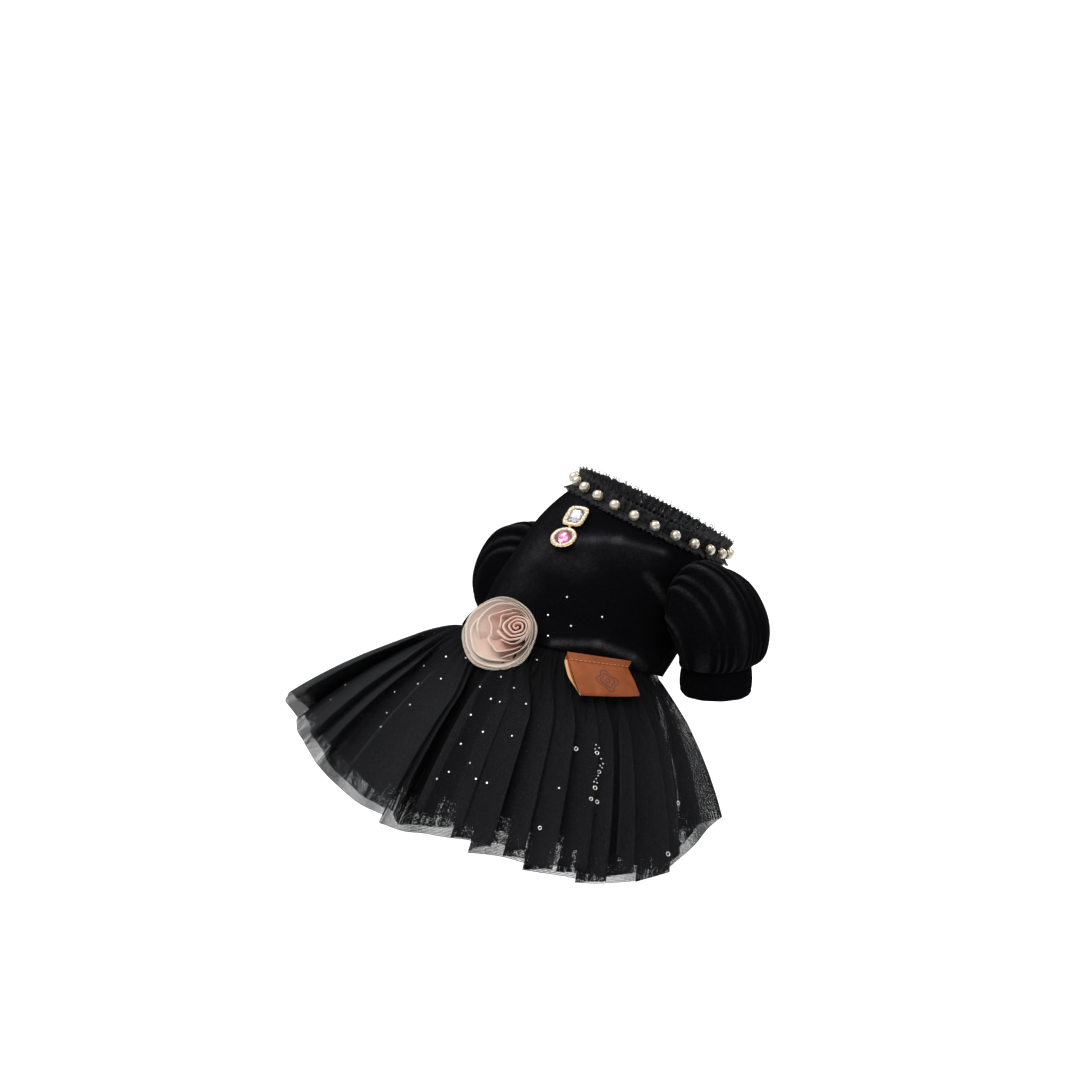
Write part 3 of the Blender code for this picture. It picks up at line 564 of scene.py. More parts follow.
def setting_tree():
    """Sets copies of a shape on a mesh's points, turned by two directions that the points carry."""
    found = bpy.data.node_groups.get("Set on points")
    if found:
        return found
    tree = bpy.data.node_groups.new("Set on points", "GeometryNodeTree")
    face = tree.interface
    face.new_socket("Points", in_out="INPUT", socket_type="NodeSocketGeometry")
    face.new_socket("Shape", in_out="INPUT", socket_type="NodeSocketObject")
    face.new_socket("Size", in_out="INPUT", socket_type="NodeSocketFloat")
    face.new_socket("Size spread", in_out="INPUT", socket_type="NodeSocketFloat")
    face.new_socket("Seed", in_out="INPUT", socket_type="NodeSocketInt")
    face.new_socket("Material", in_out="INPUT", socket_type="NodeSocketMaterial")
    face.new_socket("Geometry", in_out="OUTPUT", socket_type="NodeSocketGeometry")
    start = tree.nodes.new("NodeGroupInput").outputs
    shape = put(tree, "GeometryNodeObjectInfo", {"Object": start["Shape"]})
    out = put(tree, "GeometryNodeInputNamedAttribute", {"Name": "facing"}, data_type="FLOAT_VECTOR")
    along = put(tree, "GeometryNodeInputNamedAttribute", {"Name": "along"}, data_type="FLOAT_VECTOR")
    stood = put(tree, "FunctionNodeAlignRotationToVector", {"Vector": out.outputs[0]}, axis="Z")
    turned = put(
        tree,
        "FunctionNodeAlignRotationToVector",
        {"Rotation": stood.outputs[0], "Vector": along.outputs[0]},
        axis="X",
        pivot_axis="Z",
    )
    low = put(tree, "ShaderNodeMath", {0: 1.0, 1: start["Size spread"]}, operation="SUBTRACT")
    high = put(tree, "ShaderNodeMath", {0: 1.0, 1: start["Size spread"]}, operation="ADD")
    spread = put(
        tree,
        "FunctionNodeRandomValue",
        {"Min": low.outputs[0], "Max": high.outputs[0], "Seed": start["Seed"]},
        data_type="FLOAT",
    )
    size = put(
        tree, "ShaderNodeMath", {0: start["Size"], 1: float_output(spread)}, operation="MULTIPLY"
    )
    copies = put(
        tree,
        "GeometryNodeInstanceOnPoints",
        {
            "Points": start["Points"],
            "Instance": shape.outputs["Geometry"],
            "Rotation": turned.outputs[0],
            "Scale": size.outputs[0],
        },
    )
    real = put(tree, "GeometryNodeRealizeInstances", {"Geometry": copies.outputs[0]})
    finished = put(
        tree, "GeometryNodeSetMaterial", {"Geometry": real.outputs[0], "Material": start["Material"]}
    )
    put(tree, "NodeGroupOutput", {"Geometry": finished.outputs[0]})
    return tree


def float_output(node):
    return next(output for output in node.outputs if output.type == "VALUE" and output.enabled)


def set_on_points(name, shape, points, facing, along, size, material_name, spread=0.0, seed=1, flat=False):
    """A mesh of copies of a shape of unit size, one on each point. The shape is removed afterwards."""
    mesh = bpy.data.meshes.new(name + "_points")
    mesh.from_pydata(np.asarray(points).tolist(), [], [])
    for key, vectors in (("facing", facing), ("along", along)):
        layer = mesh.attributes.new(key, "FLOAT_VECTOR", "POINT")
        layer.data.foreach_set("vector", np.asarray(vectors, np.float32).ravel())
    holder = bpy.data.objects.new(name + "_points", mesh)
    bpy.context.scene.collection.objects.link(holder)
    tree = setting_tree()
    nodes = holder.modifiers.new("set", "NODES")
    nodes.node_group = tree
    values = {
        "Shape": shape,
        "Size": size,
        "Size spread": spread,
        "Seed": seed,
        "Material": finish(material_name),
    }
    for item in tree.interface.items_tree:
        if item.item_type == "SOCKET" and item.in_out == "INPUT" and item.name in values:
            nodes[item.identifier] = values[item.name]
    graph = bpy.context.evaluated_depsgraph_get()
    result = bpy.data.meshes.new_from_object(holder.evaluated_get(graph))
    result.name = name
    for key in ("facing", "along"):
        if key in result.attributes:
            result.attributes.remove(result.attributes[key])
    if not flat:
        result.shade_smooth()
    made = bpy.data.objects.new(name, result)
    bpy.context.scene.collection.objects.link(made)
    bpy.data.objects.remove(holder)
    bpy.data.objects.remove(shape)
    return made


def shape_of(name, build):
    """A helper object of unit size for set_on_points, filled by a bmesh function."""
    body = bmesh.new()
    build(body)
    mesh = bpy.data.meshes.new(name)
    body.to_mesh(mesh)
    body.free()
    made = bpy.data.objects.new(name, mesh)
    bpy.context.scene.collection.objects.link(made)
    return made


def ball(body, around=24, down=14):
    bmesh.ops.create_uvsphere(body, u_segments=around, v_segments=down, radius=0.5)


def ring_shape(body, wire=0.16, around=14, sides=6, half_height=1.0):
    """A ring of unit outer diameter about Z."""
    radius = 0.5 - wire / 2
    corners = []
    for turn in range(around):
        angle = 2 * pi * turn / around
        loop = []
        for side in range(sides):
            tilt = 2 * pi * side / sides
            reach = radius + wire / 2 * cos(tilt)
            loop.append(
                body.verts.new((reach * cos(angle), reach * sin(angle), half_height * wire / 2 * sin(tilt)))
            )
        corners.append(loop)
    for turn in range(around):
        low, high = corners[turn], corners[(turn + 1) % around]
        for side in range(sides):
            above = (side + 1) % sides
            body.faces.new((low[side], high[side], high[above], low[above]))


def gem_shape(body, sides=8):
    """A small round stone: a flat table, a crown and a point, of unit diameter about Z."""
    levels = ((0.28, 0.20), (0.5, 0.04), (0.5, 0.0))
    rings = []
    for radius, height in levels:
        rings.append(
            [
                body.verts.new((radius * cos(2 * pi * i / sides), radius * sin(2 * pi * i / sides), height))
                for i in range(sides)
            ]
        )
    tip = body.verts.new((0.0, 0.0, -0.32))
    body.faces.new(rings[0])
    for upper, lower in zip(rings, rings[1:]):
        for i in range(sides):
            beside = (i + 1) % sides
            body.faces.new((upper[i], lower[i], lower[beside], upper[beside]))
    for i in range(sides):
        body.faces.new((rings[-1][i], tip, rings[-1][(i + 1) % sides]))


# Materials

def put(tree, kind, feeds=(), **settings):
    """Adds a node. Feeds maps an input's name or number to a value, or to the output linked to it."""
    made = tree.nodes.new(kind)
    for key, value in settings.items():
        setattr(made, key, value)
    for key, value in dict(feeds).items():
        if isinstance(value, bpy.types.NodeSocket):
            tree.links.new(value, made.inputs[key])
        else:
            made.inputs[key].default_value = value
    return made


def finish(name):
    """One of the dress's own materials, whose names stay apart from the solids' materials."""
    return bpy.data.materials["Dress " + name]


def new_material(name):
    """A material, its tree and its Principled shader."""
    made = bpy.data.materials.new("Dress " + name)
    made.use_nodes = True
    return made, made.node_tree, made.node_tree.nodes["Principled BSDF"]


def feed(tree, shader, **inputs):
    """Sets a Principled shader's inputs, or links them. Names have _ for a space."""
    for key, value in inputs.items():
        socket = shader.inputs[key.replace("_", " ")]
        if isinstance(value, bpy.types.NodeSocket):
            tree.links.new(value, socket)
        else:
            socket.default_value = value


def bump(tree, height, strength, distance):
    return put(
        tree, "ShaderNodeBump", {"Height": height, "Strength": strength, "Distance": distance}
    ).outputs["Normal"]


def shade_group(name, inputs, outputs):
    """A shader node group with named float, vector or colour sockets, and its start."""
    tree = bpy.data.node_groups.new(name, "ShaderNodeTree")
    for label, kind, value in inputs:
        socket = tree.interface.new_socket(label, in_out="INPUT", socket_type="NodeSocket" + kind)
        if value is not None:
            socket.default_value = value
    for label, kind in outputs:
        tree.interface.new_socket(label, in_out="OUTPUT", socket_type="NodeSocket" + kind)
    return tree, tree.nodes.new("NodeGroupInput").outputs


def grain_group():
    """Two sizes of noise on the piece: a fine grain, and soft patches where the pile lies another way."""
    found = bpy.data.node_groups.get("Grain")
    if found:
        return found
    inputs = (("Vector", "Vector", None), ("Grain", "Float", 1500.0), ("Patches", "Float", 40.0))
    tree, start = shade_group("Grain", inputs, (("Grain", "Float"), ("Patches", "Float")))
    fine = put(
        tree, "ShaderNodeTexNoise", {"Vector": start["Vector"], "Scale": start["Grain"], "Detail": 3.0}
    )
    loose = {"Detail": 4.0, "Roughness": 0.6, "Distortion": 0.4}
    soft = put(
        tree, "ShaderNodeTexNoise", {"Vector": start["Vector"], "Scale": start["Patches"], **loose}
    )
    put(tree, "NodeGroupOutput", {"Grain": fine.outputs["Fac"], "Patches": soft.outputs["Fac"]})
    return tree


def net_group():
    """Threads round the cells of a fine net: 1 on a thread and 0 in a hole."""
    found = bpy.data.node_groups.get("Net")
    if found:
        return found
    inputs = (
        ("Vector", "Vector", None),
        ("Cells per metre", "Float", 900.0),
        ("Thread", "Float", 0.12),
        ("Unevenness", "Float", 0.35),
    )
    tree, start = shade_group("Net", inputs, (("Thread", "Float"), ("Height", "Float")))
    cells = put(
        tree,
        "ShaderNodeTexVoronoi",
        {"Vector": start["Vector"], "Scale": start["Cells per metre"], "Randomness": start["Unevenness"]},
        feature="DISTANCE_TO_EDGE",
        voronoi_dimensions="2D",
    )
    wide = put(tree, "ShaderNodeMath", {0: start["Thread"], 1: 1.35}, operation="MULTIPLY")
    thread = put(
        tree,
        "ShaderNodeMapRange",
        {
            "Value": cells.outputs["Distance"],
            "From Min": start["Thread"],
            "From Max": wide.outputs[0],
            "To Min": 1.0,
            "To Max": 0.0,
        },
    )
    put(tree, "NodeGroupOutput", {"Thread": thread.outputs[0], "Height": thread.outputs[0]})
    return tree


def grain_at(tree, fine, soft):
    """The two sizes of noise on the piece, at these scales."""
    feeds = {"Vector": object_place(tree), "Grain": fine, "Patches": soft}
    return put(tree, "ShaderNodeGroup", feeds, node_tree=grain_group()).outputs


def net_at(tree, place, cells, thread, uneven):
    """A net on the cloth, with this many cells per metre."""
    feeds = {"Vector": place, "Cells per metre": cells, "Thread": thread, "Unevenness": uneven}
    return put(tree, "ShaderNodeGroup", feeds, node_tree=net_group()).outputs


def times(tree, first, second):
    return put(tree, "ShaderNodeMath", {0: first, 1: second}, operation="MULTIPLY").outputs[0]


def object_place(tree):
    return tree.nodes.new("ShaderNodeTexCoord").outputs["Object"]


def cloth_place(tree):
    return put(tree, "ShaderNodeUVMap", uv_map="Cloth").outputs["UV"]


def between(tree, share, first, second):
    """A colour between two, by a share."""
    mix = put(tree, "ShaderNodeMix", {"Factor": share}, data_type="RGBA")
    for socket, value in (("A_Color", first), ("B_Color", second)):
        found = next(item for item in mix.inputs if item.identifier == socket)
        if isinstance(value, bpy.types.NodeSocket):
            tree.links.new(value, found)
        else:
            found.default_value = (*value, 1.0)
    return next(item for item in mix.outputs if item.identifier == "Result_Color")


def ranged(tree, value, from_low, from_high, to_low, to_high):
    """A value carried from one range to another."""
    return put(
        tree,
        "ShaderNodeMapRange",
        {"Value": value, "From Min": from_low, "From Max": from_high, "To Min": to_low, "To Max": to_high},
    ).outputs[0]


def scaled(colour, by):
    return tuple(min(channel * by, 1.0) for channel in colour)


def velvet_material():
    """Black pile, painted lighter as sheen where the point attribute says so."""
    _, tree, shader = new_material("velvet")
    pile = tuple(colours().velvet)
    grain = grain_at(tree, 1700.0, 55.0)
    # Painted sheen: how far the pile's colour is painted up towards pale grey here, from the points'
    # attribute
    lying = put(tree, "ShaderNodeAttribute", attribute_name="painted_light_and_shade").outputs["Fac"]
    patchy = ranged(tree, grain["Patches"], 0.30, 0.65, 0.35, 1.15)
    light = times(tree, lying, patchy)
    speckle = ranged(tree, grain["Grain"], 0.38, 0.66, 0.05, 1.25)
    light = times(tree, light, speckle)
    ground = between(tree, speckle, pile, scaled(pile, 3.0))
    feed(
        tree,
        shader,
        Base_Color=between(tree, light, ground, (0.042, 0.042, 0.045)),
        Roughness=0.9,
        Specular_IOR_Level=0.0,
        Sheen_Weight=0.012,
        Sheen_Roughness=0.25,
        Normal=bump(tree, grain["Grain"], 0.5, 0.0005),
    )


def tulle_material(name, thread, shade):
    """Black net, with painted light and shade: the point attribute says how much light a place of it
    catches.
    """
    _, tree, shader = new_material(name)
    black = scaled(tuple(colours().tulle), shade)
    net = net_at(tree, cloth_place(tree), 1.0 / sizes().net_cell, thread, 0.45)
    grain = grain_at(tree, 900.0, 60.0)
    facing = put(tree, "ShaderNodeAttribute", attribute_name="painted_light_and_shade").outputs["Fac"]
    fleck = ranged(tree, grain["Grain"], 0.3, 0.7, 0.55, 1.2)
    light = times(tree, facing, fleck)
    # Painted light and shade: the net is darker in its folds and up to charcoal where the panels face the
    # light
    colour = between(tree, light, scaled(black, 0.12), scaled(black, 2.5))
    feed(
        tree,
        shader,
        Base_Color=colour,
        Roughness=0.7,
        Specular_IOR_Level=0.02,
        Sheen_Weight=0.004,
        Sheen_Roughness=0.4,
        Alpha=net["Thread"],
        Normal=bump(tree, net["Height"], 0.4, 0.0002),
    )


def lace_material():
    _, tree, shader = new_material("lace")
    black = scaled(tuple(colours().tulle), 0.7)
    place = cloth_place(tree)
    ground = net_at(tree, place, 850.0, 0.34, 0.8)
    motif = put(
        tree,
        "ShaderNodeTexVoronoi",
        {"Vector": place, "Scale": 260.0, "Randomness": 0.7},
        feature="SMOOTH_F1",
        voronoi_dimensions="2D",
    )
    flowers = ranged(tree, motif.outputs["Distance"], 0.40, 0.47, 1.0, 0.0)
    solid = put(tree, "ShaderNodeMath", {0: ground["Thread"], 1: flowers}, operation="MAXIMUM").outputs[0]
    feed(
        tree,
        shader,
        Base_Color=between(tree, flowers, black, scaled(black, 2.4)),
        Roughness=0.75,
        Specular_IOR_Level=0.1,
        Sheen_Weight=0.03,
        Alpha=solid,
        Normal=bump(tree, solid, 0.6, 0.0004),
    )


def thread_material():
    _, tree, shader = new_material("black thread")
    grain = grain_at(tree, 3000.0, 200.0)
    black = scaled(tuple(colours().tulle), 0.8)
    feed(
        tree,
        shader,
        Base_Color=between(tree, grain["Grain"], black, scaled(black, 3.0)),
        Roughness=0.7,
        Specular_IOR_Level=0.1,
        Sheen_Weight=0.03,
        Normal=bump(tree, grain["Grain"], 0.5, 0.0003),
    )


def organza_material(name, sheer):
    """Organza with painted shade. Its cloth map runs down from the folded edge, and the colour is painted
    deeper down into the hollow, as far as the point attribute says.
    """
    _, tree, shader = new_material(name)
    place = cloth_place(tree)
    depth = put(tree, "ShaderNodeSeparateXYZ", {0: place}).outputs["Y"]
    inner = put(tree, "ShaderNodeAttribute", attribute_name="painted_light_and_shade").outputs["Fac"]
    painted_groove_shade = ranged(tree, depth, 0.12, 0.75, 0.0, 1.0)
    painted_groove_shade = times(tree, painted_groove_shade, inner)
    weave = put(
        tree,
        "ShaderNodeTexNoise",
        {"Vector": object_place(tree), "Scale": 1400.0, "Detail": 2.0},
    )
    soft = put(tree, "ShaderNodeTexNoise", {"Vector": object_place(tree), "Scale": 90.0, "Detail": 3.0})
    pale, deep = tuple(colours().organza), tuple(colours().organza_painted_shade)
    colour = between(tree, painted_groove_shade, pale, deep)
    bleached = ranged(tree, soft.outputs["Fac"], 0.4, 0.7, 0.0, 0.35)
    colour = between(tree, bleached, colour, (0.55, 0.47, 0.41))
    inputs = {
        "Base_Color": colour,
        "Roughness": ranged(tree, weave.outputs["Fac"], 0.3, 0.7, 0.42, 0.62),
        "Specular_IOR_Level": 0.15,
        "Sheen_Weight": 0.12,
        "Sheen_Roughness": 0.35,
        "Subsurface_Weight": 0.25,
        "Subsurface_Radius": (1.0, 0.5, 0.4),
        "Subsurface_Scale": 0.0015,
        "Normal": bump(tree, weave.outputs["Fac"], 0.25, 0.0002),
    }
    if sheer:
        inputs["Alpha"] = ranged(tree, weave.outputs["Fac"], 0.35, 0.62, 0.35, 0.85)
    feed(tree, shader, **inputs)


def leather_material():
    _, tree, shader = new_material("leather")
    place = object_place(tree)
    hide = tuple(colours().leather)
    grain = grain_at(tree, 700.0, 70.0)
    pores = put(tree, "ShaderNodeTexVoronoi", {"Vector": place, "Scale": 1500.0}, feature="SMOOTH_F1")
    patches = ranged(tree, grain["Patches"], 0.3, 0.7, 0.0, 1.0)
    colour = between(tree, patches, scaled(hide, 0.82), scaled(hide, 1.25))
    height = put(
        tree, "ShaderNodeMath", {0: grain["Grain"], 1: pores.outputs["Distance"]}, operation="ADD"
    ).outputs[0]
    feed(
        tree,
        shader,
        Base_Color=colour,
        Roughness=ranged(tree, grain["Grain"], 0.3, 0.7, 0.42, 0.58),
        Specular_IOR_Level=0.15,
        Normal=bump(tree, height, 0.22, 0.0003),
    )


def plain_leathers():
    """The raw edge, the burnt lines and the waxed thread of the tag."""
    kinds = (
        # name, colour, roughness, grain
        ("raw edge", (0.46, 0.25, 0.11), 0.8, 1600.0),
        ("burnt leather", (0.035, 0.014, 0.008), 0.7, 1200.0),
        ("waxed thread", (0.42, 0.22, 0.10), 0.5, 2500.0),
    )
    for name, colour, rough, size in kinds:
        _, tree, shader = new_material(name)
        grain = grain_at(tree, size, 200.0)
        feed(
            tree,
            shader,
            Base_Color=between(tree, grain["Grain"], scaled(colour, 0.7), scaled(colour, 1.3)),
            Roughness=rough,
            Normal=bump(tree, grain["Grain"], 0.4, 0.0002),
        )


def gold_material():
    _, tree, shader = new_material("gold")
    plate = tuple(colours().gold)
    grain = grain_at(tree, 900.0, 300.0)
    feed(
        tree,
        shader,
        Base_Color=between(tree, grain["Patches"], scaled(plate, 0.85), scaled(plate, 1.1)),
        Metallic=1.0,
        Roughness=ranged(tree, grain["Grain"], 0.3, 0.7, 0.14, 0.30),
        Normal=bump(tree, grain["Grain"], 0.1, 0.0001),
    )


def pearl_material():
    _, tree, shader = new_material("pearl")
    nacre = tuple(colours().pearl)
    grain = grain_at(tree, 400.0, 120.0)
    colour = between(tree, grain["Patches"], scaled(nacre, 0.92), (0.56, 0.50, 0.42))
    feed(
        tree,
        shader,
        Base_Color=colour,
        Metallic=0.65,
        Roughness=ranged(tree, grain["Grain"], 0.3, 0.7, 0.20, 0.28),
        Coat_Weight=0.35,
        Coat_Roughness=0.06,
        Thin_Film_Thickness=380.0,
        Thin_Film_IOR=1.45,
        Subsurface_Weight=0.2,
        Subsurface_Scale=0.001,
    )


def stone_materials():
    kinds = (
        # name, colour, ior
        ("clear stone", (0.97, 0.98, 1.0), 1.9),
        ("pink stone", tuple(colours().pink), 1.8),
    )
    for name, colour, ior in kinds:
        _, tree, shader = new_material(name)
        feed(
            tree,
            shader,
            Base_Color=(*colour, 1.0),
            Roughness=0.02,
            IOR=ior,
            Transmission_Weight=1.0,
        )
    for name, colour in (("foil", (0.93, 0.93, 0.95)), ("pink foil", (0.92, 0.55, 0.68))):
        _, tree, shader = new_material(name)
        grain = grain_at(tree, 500.0, 900.0)
        feed(
            tree,
            shader,
            Base_Color=between(tree, grain["Patches"], scaled(colour, 0.75), colour),
            Metallic=1.0,
            Roughness=0.12,
        )
    _, tree, shader = new_material("rhinestone")
    grain = grain_at(tree, 600.0, 500.0)
    # Painted facet glints: soft noise sets each stone's colour between grey and near white, standing in for
    # the light its facets catch
    facets = ranged(tree, grain["Patches"], 0.35, 0.65, 0.0, 1.0)
    feed(
        tree,
        shader,
        Base_Color=between(tree, facets, (0.55, 0.53, 0.52), (1.0, 0.98, 0.94)),
        Metallic=0.75,
        Roughness=0.1,
        Coat_Weight=1.0,
        Coat_Roughness=0.02,
    )


def stage_material():
    _, tree, shader = new_material("backdrop")
    grain = grain_at(tree, 40.0, 2.0)
    feed(
        tree,
        shader,
        Base_Color=between(tree, grain["Patches"], (0.90, 0.90, 0.90), (0.93, 0.93, 0.93)),
        Roughness=0.9,
        Specular_IOR_Level=0.1,
    )


class DRESS_OT_materials(bpy.types.Operator):
    """Makes the finishes of the dress"""

    bl_idname = "dress.materials"
    bl_label = "Finishes"

    def execute(self, context):
        velvet_material()
        tulle_material("tulle", 0.185, 0.85)
        tulle_material("dense tulle", 0.30, 0.8)
        lace_material()
        thread_material()
        organza_material("organza", False)
        organza_material("sheer organza", True)
        leather_material()
        plain_leathers()
        gold_material()
        pearl_material()
        stone_materials()
        stage_material()
        return {"FINISHED"}


# Bodice and sleeves

def bodice_lift(angle, share):
    """Puckers along the waist seam and the neck seam, and a slow unevenness of the cloth."""
    waist = np.exp(-share / 0.05) * 0.0006 * np.sin(58 * angle + 2.1 * np.sin(3 * angle))
    neck = np.exp(-(1 - share) / 0.04) * 0.0004 * np.sin(47 * angle + 1.4 * np.sin(5 * angle))
    slow = 0.0005 * np.sin(4 * angle + 7 * share) * np.sin(9 * share + 2 * angle + 0.7)
    return waist + neck + slow


class DRESS_OT_bodice(bpy.types.Operator):
    """Makes the velvet bodice, open at the neck, the waist and the two armholes"""

    bl_idname = "dress.bodice"
    bl_label = "Bodice"

    def execute(self, context):
        rows, columns = 90, 230
        angle = np.linspace(0.0, 2 * pi, columns, endpoint=False)[None, :]
        share = np.linspace(0.0, 1.0, rows)[:, None]
        grid = bodice_point(angle, share, bodice_lift(angle, share))
        # Painted sheen along the bodice's folds, laid on its points
        painted_light_and_shade = ridges(PAINTED_SHEEN_STREAKS, angle, share, 150)
        grid, painted_light_and_shade = turned_in(grid, True, grid.mean(axis=(0, 1)), painted_light_and_shade)
        place = grid_uv(rows, columns, True, BODICE_CUT[0], BACK_LENGTH)
        made = piece("bodice_velvet", grid, quads(rows, columns, True), "velvet", place)
        lay_painted_light_and_shade(made, painted_light_and_shade)
        cut_armholes(made)
        thicken(made, VELVET)
        settle(made)
        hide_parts("bodice")
        return {"FINISHED"}


def cut_armholes(made):
    """Opens the two armholes and draws the cut edge onto their outline."""
    body = bmesh.new()
    body.from_mesh(made.data)

    def off_middle(corner):
        if abs(corner.co.x) < CHEST_WIDTH / 4:
            return 9.0
        across = (corner.co.y - SLEEVE_FORWARD) / (ARMHOLE_WIDTH / 2)
        up = (corner.co.z + SLEEVE_DROP) / (ARMHOLE_HEIGHT / 2)
        return sqrt(across * across + up * up)

    inside = [face for face in body.faces if all(off_middle(corner) < 1.0 for corner in face.verts)]
    bmesh.ops.delete(body, geom=inside, context="FACES")
    for corner in body.verts:
        away = off_middle(corner)
        if away < 1.0 and corner.is_boundary:
            corner.co.y = SLEEVE_FORWARD + (corner.co.y - SLEEVE_FORWARD) / away
            corner.co.z = -SLEEVE_DROP + (corner.co.z + SLEEVE_DROP) / away
    body.to_mesh(made.data)
    body.free()


def sleeve_grid(side, rows, columns):
    """The puff from the armhole to the cuff, gathered at both ends, with painted sheen along the crests of
    its gathers.
    """
    pit_x, pit_z = armpit()
    turn = 2 * pi * np.arange(columns) / columns
    first = armhole_ring(side, columns)
    first[:, 0] += side * (SEAM_GAP + SLEEVE_CLOTH / 2)
    rings, keys = [first], [0.0]
    pit = np.array((side * pit_x, SLEEVE_FORWARD, pit_z))
    near, far = ARMPIT_OUT / PUFF_REACH, (ARMPIT_OUT + CUFF_DIAMETER) / PUFF_REACH
    last = (1.0, 0.0, near, far, CUFF_DIAMETER / PUFF_WIDTH)
    for along, turn_deg, inner, outer, wide in (*PUFF_PLANES, last):
        direction = np.array((side * cos(radians(turn_deg)), 0.0, sin(radians(turn_deg))))
        middle = pit + (inner + outer) / 2 * PUFF_REACH * direction
        reach = (outer - inner) / 2 * PUFF_REACH * np.cos(turn)[:, None]
        across = wide * PUFF_WIDTH / 2 * np.sin(turn)[:, None]
        rings.append(middle + reach * direction + across * np.array((0.0, 1.0, 0.0)))
        keys.append(along)
    table = np.column_stack([keys, np.array(rings).reshape(len(rings), -1)])
    along = np.linspace(0.0, 1.0, rows)
    grid = smooth(table, along).reshape(rows, columns, 3)
    grid = turned_in(grid, True, grid.mean(axis=(0, 1)))
    if not np.allclose(grid[0, 1], first[1]):
        turn = turn[::-1]
    normal = grid_normals(grid, True)
    along = along[:, None]
    warped = turn + 0.16 * np.sin(3 * turn + 1.0) + 0.07 * np.sin(7 * turn)
    upper = 0.30 + 0.70 * (np.cos(turn) + 1) / 2
    crest = np.abs(np.cos(sizes().cap_gathers / 2 * warped))
    reach_in = fade(along, 0.0, 0.07) * (1 - fade(along, 0.10, 0.70))
    cap = 0.0042 * (crest - 0.6) * upper * reach_in
    small = np.abs(np.cos(13 * warped + 2.0))
    wrist_in = (1 - fade(1 - along, 0.08, 0.40)) * fade(1 - along, 0.0, 0.04)
    wrist = 0.0024 * (small - 0.6) * wrist_in
    folds = 0.0018 * np.cos(5 * warped + 1.3 + 1.4 * along) * np.sin(pi * along)
    # Painted sheen on the crests of the cap gathers, the wrist gathers and the slow folds
    painted_light_and_shade = 0.55 * crest**8 * upper * reach_in + 0.30 * small**8 * wrist_in
    painted_light_and_shade = painted_light_and_shade + 0.25 * np.clip(np.cos(5 * warped + 1.3 + 1.4 * along), 0, 1) ** 10 * np.sin(pi * along)
    return grid + (cap + wrist + folds)[..., None] * normal, painted_light_and_shade


def cuff_grid(side, rows, columns):
    """The band under a puff: rolled at its edges, with the dip of its hem's stitching."""
    pit_x, pit_z = armpit()
    turn = 2 * pi * np.arange(columns) / columns
    down = np.linspace(0.0, 1.0, rows)[:, None]
    rolled = 0.0010 * (1 - fade(down, 0.0, 0.10)) + 0.0010 * fade(down, 0.90, 1.0)
    bulge = CUFF_CLOTH / 2 * np.sin(pi * down) - rolled
    hem = -0.0005 * np.exp(-(((down - 0.80) / 0.025) ** 2))
    soft = 0.0006 * np.sin(3 * turn + 1) * down + 0.0003 * np.sin(11 * turn + 3 * down)
    radius = CUFF_DIAMETER / 2 + bulge + hem + soft
    height = pit_z - SEAM_GAP - down * CUFF_HEIGHT + 0 * turn
    x = side * (pit_x + ARMPIT_OUT + CUFF_DIAMETER / 2 + radius * np.cos(turn))
    y = SLEEVE_FORWARD + radius * np.sin(turn)
    grid = np.stack([x, y, height], axis=-1)
    return turned_in(grid, True, grid.mean(axis=(0, 1)))


class DRESS_OT_sleeves(bpy.types.Operator):
    """Makes the two puff sleeves and their cuffs"""

    bl_idname = "dress.sleeves"
    bl_label = "Sleeves"

    def execute(self, context):
        for side, name in ((-1, "left"), (1, "right")):
            grid, painted_light_and_shade = sleeve_grid(side, 60, 300)
            puff = cloth("puff_" + name, grid, True, "velvet", SLEEVE_CLOTH, *PUFF_CUT)
            lay_painted_light_and_shade(puff, painted_light_and_shade)
            settle(puff)
            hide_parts("sleeve_puff_" + name)
            grid = cuff_grid(side, 26, 120)
            band = cloth("band_" + name, grid, True, "velvet", CUFF_CLOTH * 0.8, CUFF_CUT, CUFF_HEIGHT)
            settle(band)
            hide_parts("cuff_" + name)
        return {"FINISHED"}


# Collar and pearls

